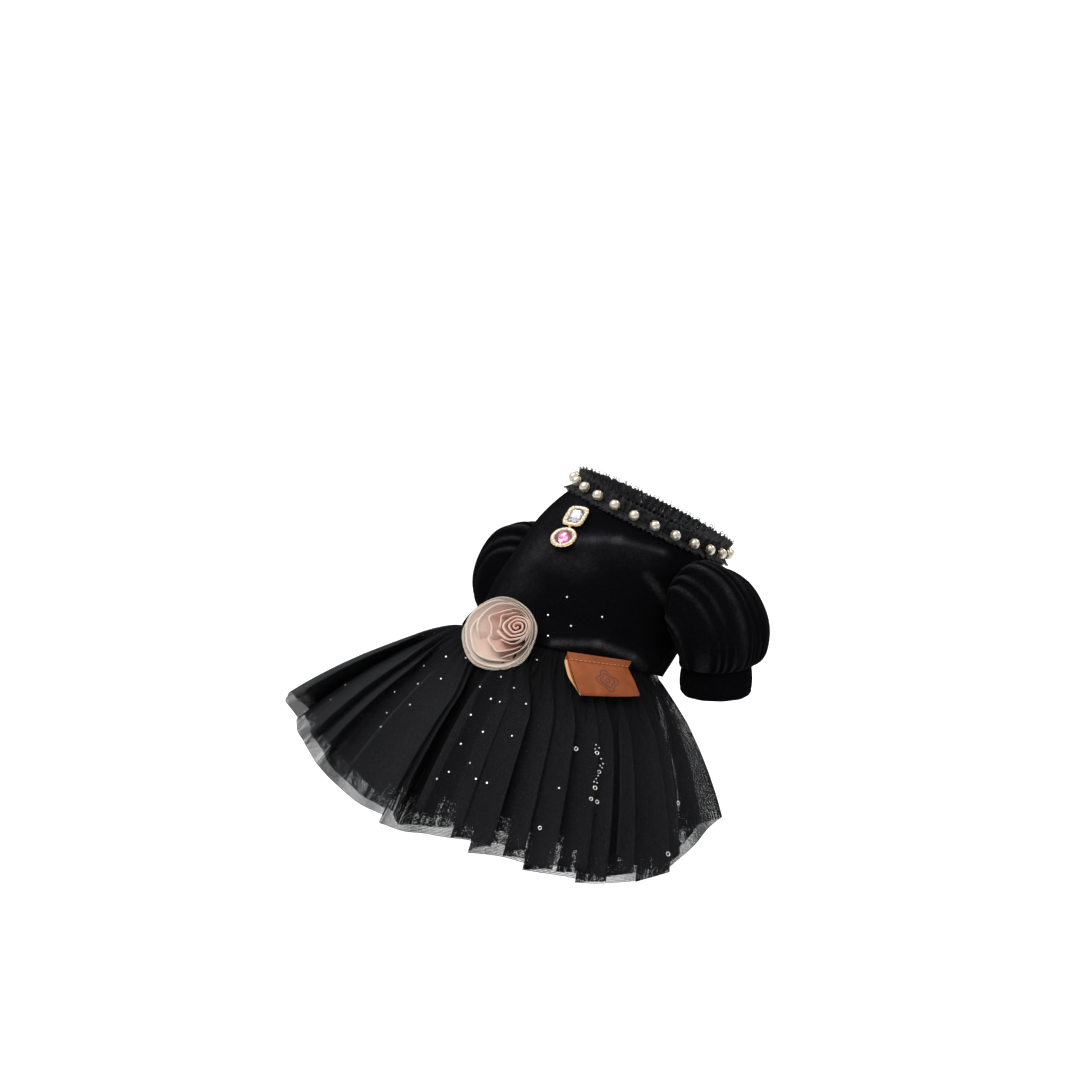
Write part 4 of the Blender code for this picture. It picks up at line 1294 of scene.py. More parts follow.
class DRESS_OT_collar(bpy.types.Operator):
    """Makes the ruffled lace at the neck: a standing frill, a lying one, and the loops at their edges"""

    bl_idname = "dress.collar"
    bl_label = "Lace collar"

    def execute(self, context):
        columns = 720
        count = sizes().ruffles
        axis = neck_axis()

        def ruffle(turn, share, phase):
            wander = turn + 0.05 * np.sin(5 * turn + phase) + 0.03 * np.sin(11 * turn)
            return (1 + np.sin(count * wander + phase)) / 2 * share

        def scallop(turn, count_of):
            return np.abs(np.sin(count_of / 2 * turn))

        def standing(turn, share):
            deep = RUFFLE_DEPTH * 2.0 * ruffle(turn, share, 0.0)
            height = LACE_ABOVE * share * (0.86 + 0.14 * scallop(turn, 2 * count))
            lift = SEAM_GAP + 0.0003 + deep
            return bodice_point(turn, 1.0, lift) + height[:, None] * axis

        def lying(turn, share):
            deep = RUFFLE_DEPTH * 1.5 * ruffle(turn, share, 1.7)
            fall = LACE_BELOW * share * (0.84 + 0.16 * scallop(turn, 2 * count)) / BACK_LENGTH
            lift = SEAM_GAP + 0.0005 + 0.0006 * share + deep
            return bodice_point(turn, 1.0 - fall, lift)

        turn = 2 * pi * np.arange(columns) / columns
        for name, edge_of, wide in (("lace_standing", standing, 0.0100), ("lace_lying", lying, 0.0072)):
            grid = np.array([edge_of(turn, share) for share in np.linspace(0.0, 1.0, 9)])
            grid = turned_in(grid, True, grid.mean(axis=(0, 1)))
            made = cloth(name, grid, True, "lace", LACE, *LACE_CUT)
            settle(made)
        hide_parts("collar_lace")

        tips = 2 * pi * (np.arange(2 * count) + 0.5) / (2 * count)
        spots, ways, sides = [], [], []
        for edge_of in (standing, lying):
            edge = edge_of(tips, 1.0)
            out = unit(edge - edge_of(tips, 0.8))
            spots.append(edge + 0.0007 * out)
            ways.append(unit(np.cross(out, np.roll(edge, -1, axis=0) - edge)))
            sides.append(out)
        loops = set_on_points(
            "lace_loops",
            shape_of("loop", lambda body: ring_shape(body, wire=0.2, around=10, sides=4)),
            np.concatenate(spots),
            np.concatenate(ways),
            np.concatenate(sides),
            0.0023,
            "black thread",
            spread=0.3,
            seed=4,
        )
        settle(loops)
        return {"FINISHED"}


class DRESS_OT_pearls(bpy.types.Operator):
    """Makes the pearls round the collar and the gold cups that hold them"""

    bl_idname = "dress.pearls"
    bl_label = "Pearls"

    def execute(self, context):
        count, diameter = sizes().pearl_count, sizes().pearl_diameter
        angle = 2 * pi * (np.arange(count) + 0.5) / count
        lift = SEAM_GAP + 0.001 + 2 * SEAM_GAP + diameter / 2
        place = bodice_point(angle, 1.0, lift) + PEARL_RAISE * LACE_ABOVE * neck_axis()
        seat = bodice_point(angle, 1.0, 0.0) + PEARL_RAISE * LACE_ABOVE * neck_axis()
        out = unit(place - seat)
        along = unit(np.roll(place, -1, axis=0) - place)
        spots = (place, out, along, diameter)
        pearls = set_on_points("collar_pearls", shape_of("pearl", ball), *spots, "pearl")
        settle(pearls)
        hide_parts(*[f"pearl_{index + 1:02d}" for index in range(count)])
        cups = set_on_points("pearl_cups", shape_of("cup", cup_shape), *spots, "gold")
        settle(cups)
        return {"FINISHED"}


def cup_shape(body):
    """A cup of eight pointed leaves round the lower half of a ball of unit diameter."""
    columns, rows = 32, 5
    radius, wall = 0.515, 0.95

    def loop(row, scale):
        corners = []
        for column in range(columns):
            angle = 2 * pi * column / columns
            tilt = -1.25 + row / (rows - 1) * (0.72 + 0.30 * abs(cos(4 * angle)))
            out = scale * radius * cos(tilt)
            corners.append(body.verts.new((out * cos(angle), out * sin(angle), scale * radius * sin(tilt))))
        return corners

    loops = [loop(row, 1.0) for row in range(rows)] + [loop(row, wall) for row in reversed(range(rows))]
    for low, high in zip(loops, loops[1:] + loops[:1]):
        for column in range(columns):
            beside = (column + 1) % columns
            body.faces.new((low[column], low[beside], high[beside], high[column]))


# Brooch

def outline(half_across, half_down, angle, squareness):
    """A rounded outline, an ellipse at squareness 1."""
    across, down = np.cos(angle), np.sin(angle)
    power = 2 * squareness
    reach = (np.abs(across) ** power + np.abs(down) ** power) ** (-1 / power)
    return half_across * reach * across, half_down * reach * down


def brooch_frames():
    """The frames of the two settings, each origin, across, down, out, with the two eyes' middles."""
    point, across, down, out = bodice_frame(BROOCH_ANGLE, BROOCH_SHARE)
    eye_reach = EYE_RADIUS * EYE_REACH
    to_drop = TOP_LENGTH / 2 + 2 * eye_reach + 2 * LINK_RADIUS + DROP_DIAMETER / 2
    end_angle = BROOCH_ANGLE + sin(BROOCH_SWING) * to_drop / (CHEST_WIDTH / 2)
    end_share = BROOCH_SHARE - cos(BROOCH_SWING) * to_drop / BACK_LENGTH
    down = unit(bodice_point(end_angle, end_share) - point)
    out = unit(out - (out @ down) * down)
    across = np.cross(down, out)
    step = np.linspace(0.0, 1.0, 7)
    under = bodice_point(
        BROOCH_ANGLE + step * (end_angle - BROOCH_ANGLE), BROOCH_SHARE + step * (end_share - BROOCH_SHARE)
    )
    highest = max(0.0, ((under - point) @ out).max())
    back_face = point + (highest + BROOCH_LIFT) * out
    top_eye = back_face + (TOP_LENGTH / 2 + eye_reach) * down + SETTING_HEIGHT * EYE_LEVEL * out
    drop_eye = top_eye + 2 * LINK_RADIUS * down
    return (back_face, across, down, out), (back_face + to_drop * down, across, down, out), top_eye, drop_eye


def in_frame(frame_of, x, y, z):
    origin, across, down, out = frame_of
    return (
        origin
        + np.asarray(x)[..., None] * across
        + np.asarray(y)[..., None] * down
        + np.asarray(z)[..., None] * out
    )


def tray(frame_of, half_across, half_down, squareness):
    """The gold tray of a setting with its scalloped rim, a step inside it and a low seat for the stone."""
    columns = 8 * HALO_STONES
    angle = 2 * pi * np.arange(columns) / columns
    scallop = np.abs(np.sin(HALO_STONES / 2 * angle)) * HALO_WIDTH / 8
    floor = SETTING_HEIGHT / 3
    levels = (
        # inset as a share of the halo, height, how far the scallops swell it
        (0.60, 0.00, 0.0),
        (0.22, floor * 0.1, 0.4),
        (0.06, floor * 0.5, 1.0),
        (0.00, floor, 1.0),
        (0.04, SETTING_HEIGHT * 0.75, 1.0),
        (0.16, SETTING_HEIGHT * 0.90, 1.0),
        (0.45, SETTING_HEIGHT * 0.86, 0.3),
        (0.80, SETTING_HEIGHT * 0.92, -0.4),
        (0.92, SETTING_HEIGHT * 0.90, -0.2),
        (0.98, SETTING_HEIGHT * 0.60, 0.0),
        (1.02, floor, 0.0),
        (1.60, floor * 0.9, 0.0),
    )
    rings = []
    for inset, height, swell in levels:
        reach = inset * HALO_WIDTH - swell * scallop
        x, y = outline(half_across - reach, half_down - reach, angle, squareness)
        rings.append(in_frame(frame_of, x, y, np.full(columns, height)))
    points = np.array(rings)
    rows = len(levels)
    faces = quads(rows, columns, True).tolist()
    faces.append(list(range(columns))[::-1])
    faces.append(list(range((rows - 1) * columns, rows * columns)))
    return points.reshape(-1, 3), faces


def tube_faces(turns, sides):
    """Faces of a closed ring of loops."""
    turn, side = np.meshgrid(np.arange(turns), np.arange(sides), indexing="ij")
    beside, above = (turn + 1) % turns, (side + 1) % sides
    corners = (turn * sides + side, beside * sides + side, beside * sides + above, turn * sides + above)
    return np.stack(corners, axis=-1).reshape(-1, 4).tolist()


def wire_ring(centre, axis, radius, wire, turns=28, sides=10):
    """Points and faces of a closed ring of wire about an axis."""
    axis = unit(axis)
    first = unit(np.cross(axis, ALONG if abs(axis @ ALONG) < 0.9 else RIGHT))
    second = np.cross(axis, first)
    turn = 2 * pi * np.arange(turns) / turns
    tilt = 2 * pi * np.arange(sides) / sides
    out = np.cos(turn)[:, None] * first + np.sin(turn)[:, None] * second
    points = (
        centre
        + out[:, None] * (radius + wire / 2 * np.cos(tilt))[None, :, None]
        + axis * (wire / 2 * np.sin(tilt))[None, :, None]
    )
    return points.reshape(-1, 3), tube_faces(turns, sides)


def joined(parts):
    """Points and faces of several meshes as one."""
    points, faces, base = [], [], 0
    for some_points, some_faces in parts:
        points.append(some_points)
        faces += [[base + index for index in face] for face in some_faces]
        base += len(some_points)
    return np.concatenate(points), faces


def outward(made):
    """Turns the faces of a closed mesh outwards."""
    body = bmesh.new()
    body.from_mesh(made.data)
    bmesh.ops.remove_doubles(body, verts=body.verts, dist=1e-7)
    bmesh.ops.recalc_face_normals(body, faces=body.faces)
    body.to_mesh(made.data)
    body.free()
    return made


def cut_stone(name, frame_of, rings, material_name, foil_name):
    """A cut stone through rings of corners, with foil on the facets below its girdle."""
    body = bmesh.new()
    for x, y, z in rings:
        for point in in_frame(frame_of, x, y, z):
            body.verts.new(point)
    bmesh.ops.convex_hull(body, input=body.verts)
    loose = [corner for corner in body.verts if not corner.link_faces]
    bmesh.ops.delete(body, geom=loose, context="VERTS")
    bmesh.ops.dissolve_limit(body, angle_limit=radians(0.5), verts=body.verts, edges=body.edges)
    bmesh.ops.recalc_face_normals(body, faces=body.faces)
    out = Vector(frame_of[3])
    for face in body.faces:
        face.material_index = 1 if face.normal @ out < -0.05 else 0
    mesh = bpy.data.meshes.new(name)
    body.to_mesh(mesh)
    body.free()
    mesh.materials.append(finish(material_name))
    mesh.materials.append(finish(foil_name))
    made = bpy.data.objects.new(name, mesh)
    bpy.context.scene.collection.objects.link(made)
    return made


def step_rings(half_across, half_down):
    """An emerald cut: cut corners, in steps down to a keel."""
    corner = 0.30
    levels = (
        # share of the girdle, height
        (0.10, SETTING_HEIGHT / 3 + SEAM_GAP),
        (0.45, SETTING_HEIGHT * 0.50),
        (0.78, SETTING_HEIGHT * 0.70),
        (1.00, SETTING_HEIGHT * 0.92),
        (1.00, SETTING_HEIGHT * 1.00),
        (0.90, SETTING_HEIGHT * 1.20),
        (0.77, SETTING_HEIGHT * 1.38),
        (0.60, STONE_RISE),
    )
    rings = []
    short = min(half_across, half_down)
    for share, height in levels:
        a, b = half_across * share, half_down * share
        c = corner * short * (0.4 + 0.6 * share)
        x = np.array((a, a, a - c, -a + c, -a, -a, -a + c, a - c))
        y = np.array((-b + c, b - c, b, b, b - c, -b + c, -b, -b))
        rings.append((x, y, np.full(8, height)))
    return rings


def brilliant_rings(radius):
    """A round brilliant: table, stars, kites, girdle, pavilion and a point."""
    levels = (
        # corners, turn in steps, share of the radius, height
        (1, 0.0, 0.00, SETTING_HEIGHT / 3),
        (8, 0.5, 0.45, SETTING_HEIGHT * 0.52),
        (16, 0.0, 1.00, SETTING_HEIGHT * 0.94),
        (16, 0.0, 1.00, SETTING_HEIGHT * 1.00),
        (8, 0.5, 0.80, SETTING_HEIGHT * 1.30),
        (8, 0.0, 0.55, STONE_RISE),
    )
    rings = []
    for corners, turn, share, height in levels:
        angle = 2 * pi * (np.arange(corners) + turn) / corners
        reach = radius * share
        rings.append((reach * np.cos(angle), reach * np.sin(angle), np.full(corners, height)))
    return rings


class DRESS_OT_brooch(bpy.types.Operator):
    """Makes the brooch: two gold settings with halos of small stones, a link and the two main stones"""

    bl_idname = "dress.brooch"
    bl_label = "Brooch"

    def execute(self, context):
        top, drop, top_eye, drop_eye = brooch_frames()
        out, across = top[3], top[1]
        settings = (
            # name, node, frame, half across, half down, squareness, eye
            ("setting_top", "brooch_setting", top, TOP_WIDTH / 2, TOP_LENGTH / 2, TOP_SQUARENESS, top_eye),
            ("setting_drop", "drop_setting", drop, DROP_DIAMETER / 2, DROP_DIAMETER / 2, 1.0, drop_eye),
        )
        for name, node, frame_of, half_across, half_down, squareness, eye in settings:
            eye_ring = wire_ring(eye, out, EYE_RADIUS, EYE_WIRE)
            points, faces = joined([tray(frame_of, half_across, half_down, squareness), eye_ring])
            made = outward(piece(name, points, faces, "gold"))
            made.data.set_sharp_from_angle(angle=radians(40))
            settle(made)
            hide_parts(node)
            angle = 2 * pi * (np.arange(HALO_STONES) + 0.5) / HALO_STONES
            x, y = outline(half_across - 0.47 * HALO_WIDTH, half_down - 0.47 * HALO_WIDTH, angle, squareness)
            spots = in_frame(frame_of, x, y, np.full(HALO_STONES, SETTING_HEIGHT * 0.97))
            facing = np.repeat(frame_of[3][None], HALO_STONES, axis=0)
            ahead = unit(np.roll(spots, -1, axis=0) - spots)
            stones = set_on_points(
                "halo_" + name[8:], shape_of("halo_stone", gem_shape), spots, facing, ahead,
                HALO_WIDTH * 0.92, "rhinestone", spread=0.04, seed=7, flat=True,
            )
            settle(stones)
            claws = []
            for inset in (0.10, 0.90):
                turn = 2 * pi * np.arange(HALO_STONES) / HALO_STONES
                reach = inset * HALO_WIDTH
                x, y = outline(half_across - reach, half_down - reach, turn, squareness)
                claws.append(in_frame(frame_of, x, y, np.full(HALO_STONES, SETTING_HEIGHT * 0.98)))
            claws = np.concatenate(claws)
            facing = np.repeat(frame_of[3][None], len(claws), axis=0)
            beads = set_on_points(
                "claws_" + name[8:], shape_of("claw", lambda body: ball(body, 10, 6)), claws, facing,
                np.repeat(frame_of[1][None], len(claws), axis=0), 0.0007, "gold", seed=3,
            )
            settle(beads)

        room = HALO_WIDTH + SEAM_GAP
        steps = step_rings(TOP_WIDTH / 2 - room, TOP_LENGTH / 2 - room)
        clear = cut_stone("stone_clear", top, steps, "clear stone", "foil")
        settle(clear)
        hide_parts("clear_stone")
        kites = brilliant_rings(DROP_DIAMETER / 2 - room)
        pink = cut_stone("stone_pink", drop, kites, "pink stone", "pink foil")
        settle(pink)
        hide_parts("pink_stone")
        ring = wire_ring((top_eye + drop_eye) / 2, across, LINK_RADIUS, LINK_WIRE)
        link = outward(piece("link_ring", *ring, "gold"))
        settle(link)
        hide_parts("jump_ring")
        return {"FINISHED"}


# Rose

def rose_frames():
    point, across, down, out = bodice_frame(ROSE_ANGLE, ROSE_SHARE)
    seat = point + (SEAM_GAP + VELVET / 4) * out

    def turned(vector, axis, angle):
        along = axis * (axis @ vector) * (1 - cos(angle))
        return vector * cos(angle) + np.cross(axis, vector) * sin(angle) + along

    directions = []
    for vector in (across, down, out):
        nodded = turned(vector, across, ROSE_NODDING)
        directions.append(turned(nodded, -down, ROSE_TURNED))
    return seat + ROSE_BACK_HEIGHT * out, directions


def rose_place(frame_of, angle, radius, height):
    """Points of the rose, whose rings draw away from the heart at its side as they widen."""
    widen = fade(radius, 0.08 * ROSE_DIAMETER, 0.5 * ROSE_DIAMETER)
    x = radius * np.cos(angle) + ROSE_HEART[0] + (ROSE_RIM[0] - ROSE_HEART[0]) * widen
    y = radius * np.sin(angle) + ROSE_HEART[1] + (ROSE_RIM[1] - ROSE_HEART[1]) * widen
    return in_frame(frame_of, x, y, height)


def petal_section(foot, edge, height, rise, lip):
    """Radius and height up a petal. Rise runs from 0 at its foot to 1 at its fold, and on over its roll."""
    up = np.minimum(rise, 1.0)
    rolled = np.clip(rise - 1.0, 0.0, None) * pi * 1.3
    radius = foot + (edge - foot) * (1 - (1 - up) ** 1.7) + lip * np.sin(rolled)
    return radius, SEAM_GAP + height * up**0.9 - lip * (1 - np.cos(rolled))


class DRESS_OT_rose(bpy.types.Operator):
    """Makes the rose of organza: a wound heart, petals that lap round it, and sheer leaves at the rim"""

    bl_idname = "dress.rose"
    bl_label = "Rose"

    def execute(self, context):
        origin, (across, down, out) = rose_frames()
        frame_of = (origin, across, down, out)
        self.heart(frame_of)
        for index, row in enumerate(ROSE_PETALS):
            self.petal(frame_of, index, *row)
        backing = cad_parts["rose_back"].data.materials
        backing.clear()
        backing.append(finish("organza"))
        return {"FINISHED"}

    def heart(self, frame_of):
        """A strip wound three times and more, a little oval, with its folded edge rolled over."""
        columns, rows = 300, 14
        share = np.linspace(0.0, 1.0, columns)[None, :]
        rise = np.linspace(1.7, 0.0, rows)[:, None]
        angle = 2 * pi * sizes().rose_turns * share
        oval = 1 + 0.10 * np.cos(2 * angle + 0.8) + 0.03 * np.sin(5 * angle)
        edge = (0.0006 + 0.0098 * share**0.95) * oval
        high = ROSE_HEART[2] * (1.0 - 0.10 * share) * (1 + 0.02 * np.sin(3 * angle))
        radius, height = petal_section(0.35 * edge, edge, high, rise, 0.0007)
        grid = rose_place(frame_of, angle, radius, height)
        made = cloth("rose_winding", grid, False, "organza", ORGANZA, 0.12, 1.0)
        # Painted shade: the wound heart's hollows are painted in full
        lay_painted_light_and_shade(made, np.full(rows * columns, 1.0))
        settle(made)
        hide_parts("rose_heart", "rose_petals")

    def petal(self, frame_of, index, name, middle, half, rim, point, material_name):
        """One petal: cupped, rolled over at its rim, and drawn in where its sides tuck under the next."""
        rows, columns = 16, 48
        across = np.linspace(-1.0, 1.0, columns)[None, :]
        rise = np.linspace(1.65, 0.0, rows)[:, None]
        angle = np.radians(middle) + across * np.radians(half)
        share = (rim - 0.36) / 0.64
        sides = (1 - 0.16 * across**4) * (1 - (0.75 - 0.55 * share) * fade(np.abs(across), 0.66, 1.0))
        corner = point * np.exp(-((across / 0.22) ** 2)) - 0.35 * point * (1 - np.abs(across))
        wave = 1 + 0.012 * np.sin(6 * angle + 2 * index) + corner
        edge = ROSE_SPREAD * ROSE_DIAMETER / 2 * rim * wave * (1 - 0.05 * across**2) + 0.0005 * across
        high = ROSE_HEART[2] + (ROSE_RIM[2] - ROSE_HEART[2]) * share**0.8
        high = high * sides * (1 + 0.04 * np.sin(3 * angle + index))
        lip = 0.0005 + 0.0005 * share
        foot = ROSE_DIAMETER / 2 * (0.12 + 0.30 * share)
        radius, height = petal_section(foot, edge, high, rise, lip)
        grid = rose_place(frame_of, angle + 0 * radius, radius, height)
        normal = grid_normals(grid, False)
        if np.einsum("rci,i->rc", normal, frame_of[3]).mean() < 0:
            grid = grid[:, ::-1]
        made = cloth(name, grid, False, material_name, ORGANZA, 0.06, 1.0)
        # Painted shade: the inner petals' hollows are painted deeper than the outer ones'
        lay_painted_light_and_shade(made, np.full(rows * columns, 0.75 - 0.60 * share))
        settle(made)
        area = float(np.linalg.norm(normal_areas(grid), axis=-1).sum())
        width, length = 0.020 + 0.044 * rim, 0.020 + 0.011 * rim
        area = min(area, width * length)


def normal_areas(grid):
    """Twice-halved cross products of a grid's faces, whose lengths are the faces' areas."""
    first = grid[1:, 1:] - grid[:-1, :-1]
    second = grid[1:, :-1] - grid[:-1, 1:]
    return np.cross(first, second) / 2


# Tag

def tag_point(angle, fall, lift):
    """Points off the skirt's top. Fall: metres below the waist seam, or above it when it is negative."""
    angle, fall, lift = np.broadcast_arrays(angle, fall, lift)
    above = bodice_point(angle, np.clip(-fall, 0.0, None) / BACK_LENGTH, lift)
    centre, _, _, down = waist_axes()
    out = unit(bodice_point(angle, 0.0, lift) - centre)
    below = np.clip(fall, 0.0, None)[..., None]
    return above + below * (sqrt(1 - TAG_SLOPE * TAG_SLOPE) * down + TAG_SLOPE * out)


def tag_place(across, fall, lift):
    """Points of the tag. Across runs from 0 to 1. Its free end drifts sideways and hangs askew."""
    top = -TAG_STRIP * TAG_ABOVE
    part = np.clip((fall - top) / TAG_LENGTH, 0.0, None)
    width = TAG_WIDTH / (CHEST_WIDTH / 2) * (1 - TAG_NARROWING * part)
    behind = np.clip(1 - lift / (LEATHER * 2.2), 0.0, 1.0)
    behind = behind * fade(part, 0.0, 0.3) * (1 - fade(part, 0.55, 1.0))
    angle = TAG_ANGLE + (across - 0.5) * width + TAG_DRIFT * part - TAG_ASKEW * behind
    return tag_point(angle, fall + part * TAG_SKEW * (0.9 - across) + TAG_TILT * (0.5 - across), lift)


def tag_lines():
    """Fall and lift of the folded strip's outer line, from the back's top round the fold to the front's,
    and of its inner line."""
    top = -TAG_STRIP * TAG_ABOVE
    bottom = top + TAG_LENGTH
    seat = SEAM_GAP * 2
    middle = seat + LEATHER + TAG_OPENING / 2
    half = middle - seat
    back = [(top + 0.001 + part * (bottom - half - top - 0.001), seat) for part in np.linspace(0, 1, 14)]
    turn = np.linspace(0, pi, 15)[1:-1]
    fold = [(bottom - half + half * sin(a), middle - half * cos(a)) for a in turn]
    front = []
    for part in np.linspace(1, 0, 16):
        fall = top + 0.001 + part * (bottom - half - top - 0.001)
        ease = fade(part, 0.12, 0.95)
        near = seat + 2.05 * LEATHER
        bulge = 0.0012 * sin(pi * min(part * 1.15, 1.0))
        front.append((fall, near + (2 * middle - seat - near) * ease + bulge))
    outer = np.array(back + fold + front)
    step = np.gradient(outer, axis=0)
    inwards = np.stack([-step[:, 1], step[:, 0]], axis=1)
    inwards /= np.linalg.norm(inwards, axis=1, keepdims=True)
    if ((np.array((0.5 * (top + bottom), middle)) - outer) * inwards).sum() < 0:
        inwards = -inwards
    return outer, outer + inwards * LEATHER * 0.95


def tag_front(across, fall):
    """Points on the tag's front face."""
    outer, _ = tag_lines()
    front = outer[np.argmax(outer[:, 0]) + 1:][::-1]
    return tag_place(across, fall, np.interp(fall, front[:, 0], front[:, 1]))


def swept(section_line, columns, place_of):
    """Points and side faces of a closed section of fall and lift, carried across the tag."""
    across = np.linspace(0.0, 1.0, columns)
    grid = place_of(across[None, :], section_line[:, :1], section_line[:, 1:])
    faces = []
    rows = len(section_line)
    for row in range(rows):
        beside = (row + 1) % rows
        for column in range(columns - 1):
            here, there = row * columns + column, beside * columns + column
            faces.append([here, here + 1, there + 1, there])
    return grid.reshape(-1, 3), faces


class DRESS_OT_tag(bpy.types.Operator):
    """Makes the folded leather tag, the strip that holds it, its stitches and a plain ornament"""

    bl_idname = "dress.tag"
    bl_label = "Leather tag"

    def execute(self, context):
        top = -TAG_STRIP * TAG_ABOVE
        strip_lift = SEAM_GAP * 2 + 2.95 * LEATHER
        self.leather()
        self.strip(top, strip_lift)
        self.stitches(top + TAG_STRIP - 0.0011, strip_lift)
        self.ornament(top + TAG_STRIP + (TAG_LENGTH - TAG_STRIP) * 0.50)
        return {"FINISHED"}

    def leather(self):
        """The folded strip, whose two cut ends show the raw leather."""
        columns = 40
        outer, inner = tag_lines()
        points, faces = swept(np.concatenate([outer, inner[::-1]]), columns, tag_place)
        sides = len(faces)
        count = len(outer)
        for column in (0, columns - 1):
            for row in range(count - 1):
                within = 2 * count - 1 - row
                ring = (row, row + 1, within - 1, within)
                faces.append([index * columns + column for index in ring])
        made = piece("tag_leather", points, faces, "leather")
        made.data.materials.append(finish("raw edge"))
        for index, polygon in enumerate(made.data.polygons):
            polygon.material_index = 1 if index >= sides else 0
        outward(made)
        made.data.set_sharp_from_angle(angle=radians(48))
        settle(made)
        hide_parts("leather_tag")

    def strip(self, top, strip_lift):
        """The band across the tag's top, rounded at its edges."""
        columns = 40
        low = SEAM_GAP
        half_fall, half_lift = TAG_STRIP / 2, (strip_lift - low) / 2
        turn = 2 * pi * np.arange(28) / 28
        reach = (np.abs(np.cos(turn)) ** 7 + np.abs(np.sin(turn)) ** 7) ** (-1 / 7)
        fall = top + half_fall * (1 + reach * np.cos(turn))
        lift = low + half_lift * (1 + reach * np.sin(turn))
        line = np.stack([fall, lift], axis=1)
        points, faces = swept(line, columns, tag_place)
        for column in (0, columns - 1):
            faces.append([row * columns + column for row in range(len(line))])
        made = piece("tag_strip", points, faces, "leather")
        outward(made)
        made.data.set_sharp_from_angle(angle=radians(60))
        settle(made)

    def stitches(self, fall, lift):
        """The row of stitches along the strip, and the two holes near its left end."""
        length = sizes().stitch
        count = int(TAG_WIDTH / (length * 1.35))
        across = np.linspace(0.04, 0.96, count)
        spots = tag_place(across, np.full(count, fall), np.full(count, lift))
        above = tag_place(across, np.full(count, fall), np.full(count, lift + 0.001))
        made = set_on_points(
            "tag_stitches",
            shape_of("stitch", stitch_shape),
            spots,
            unit(above - spots),
            unit(np.gradient(spots, axis=0)),
            length,
            "waxed thread",
            seed=2,
        )
        settle(made)
        across = np.array((0.12, 0.46))
        spots = tag_place(across, np.full(2, fall + 0.0024), np.full(2, SEAM_GAP * 2 + 2.3 * LEATHER))
        above = tag_place(across, np.full(2, fall + 0.0024), np.full(2, SEAM_GAP * 2 + 2.9 * LEATHER))
        holes = set_on_points(
            "tag_holes",
            shape_of("hole", lambda body: ball(body, 12, 6)),
            spots,
            unit(above - spots),
            np.repeat(unit(spots[1] - spots[0])[None], 2, axis=0),
            0.0016,
            "burnt leather",
        )
        settle(holes)

    def ornament(self, middle_fall):
        """A plain four-lobed outline with a smaller one inside it, in burnt lines on the front."""
        turn = np.linspace(0, 2 * pi, 97)
        parts = []
        for size, lobes in ((0.0076, 0.20), (0.0050, 0.20), (0.0014, 0.0)):
            reach = size * (1 + lobes * np.cos(4 * turn)) / (1 + lobes)
            across = 0.5 + reach * np.cos(turn) / TAG_WIDTH
            line = tag_front(across, middle_fall + reach * np.sin(turn))[:-1]
            parts.append(self.burnt_line(line))
        points, faces = joined(parts)
        made = outward(piece("tag_ornament", points, faces, "burnt leather"))
        settle(made)

    def burnt_line(self, line):
        """Points and faces of a fine closed ridge along a line on the leather."""
        ahead = unit(np.roll(line, -1, axis=0) - np.roll(line, 1, axis=0))
        out = unit(line - waist_axes()[0])
        beside = unit(np.cross(ahead, out))
        out = unit(np.cross(beside, ahead))
        width, rise = 0.00040, 0.00020
        corners = (beside * width, out * rise, -beside * width, -out * rise)
        ring = np.stack([line + corner for corner in corners], axis=1)
        return ring.reshape(-1, 3), tube_faces(len(ring), len(corners))


def stitch_shape(body):
    """One raised stitch of unit length along X."""
    sides, rows = 6, 7
    rings = []
    for row in range(rows):
        part = row / (rows - 1)
        radius = 0.11 * sin(pi * (0.12 + 0.76 * part))
        ring = []
        for side in range(sides):
            tilt = 2 * pi * side / sides
            ring.append(
                body.verts.new((part - 0.5, radius * cos(tilt), radius * sin(tilt) + 0.06 * sin(pi * part)))
            )
        rings.append(ring)
    for low, high in zip(rings, rings[1:]):
        for side in range(sides):
            above = (side + 1) % sides
            body.faces.new((low[side], high[side], high[above], low[above]))
    body.faces.new(rings[0])
    body.faces.new(rings[-1][::-1])


# Skirt

def pleat_curve(columns, folds, seed):
    """Along a layer's columns: where its cloth lies in the spread, how high it stands, from -1 to 1, and
    how near it is to a fold's crest. Each fold is a broad panel that laps over the start of the next."""
    random = np.random.default_rng(seed)
    widths = random.uniform(0.6, 1.4, folds)
    ends = np.concatenate([[0.0], np.cumsum(widths)]) / widths.sum()
    laps = random.uniform(0.08, 0.20, folds + 1) / folds
    laps[0] = laps[-1] = 0.0
    deep = random.uniform(0.55, 1.2, folds + 1)
    place = np.linspace(0.0, 1.0, columns)
    fold = np.clip(np.searchsorted(ends, place, side="right") - 1, 0, folds - 1)
    part = (place - ends[fold]) / (ends[fold + 1] - ends[fold])
    turned = 0.76
    ahead = np.clip(part / turned, 0.0, 1.0)
    back = np.clip((part - turned) / (1 - turned), 0.0, 1.0)
    start, far = ends[fold] - laps[fold], ends[fold + 1] + laps[fold + 1]
    lies = np.where(part < turned, start + ahead * (far - start), far - back * 2 * laps[fold + 1])
    panel = -1 + 2 * ahead**0.75
    height = np.where(part < turned, panel, 1 - 2 * back**1.4)
    if seed % 2:
        lies, height, deep = 1 - lies[::-1], height[::-1], deep[::-1]
    return lies, height * np.interp(place, ends, deep), (height + 1) / 2


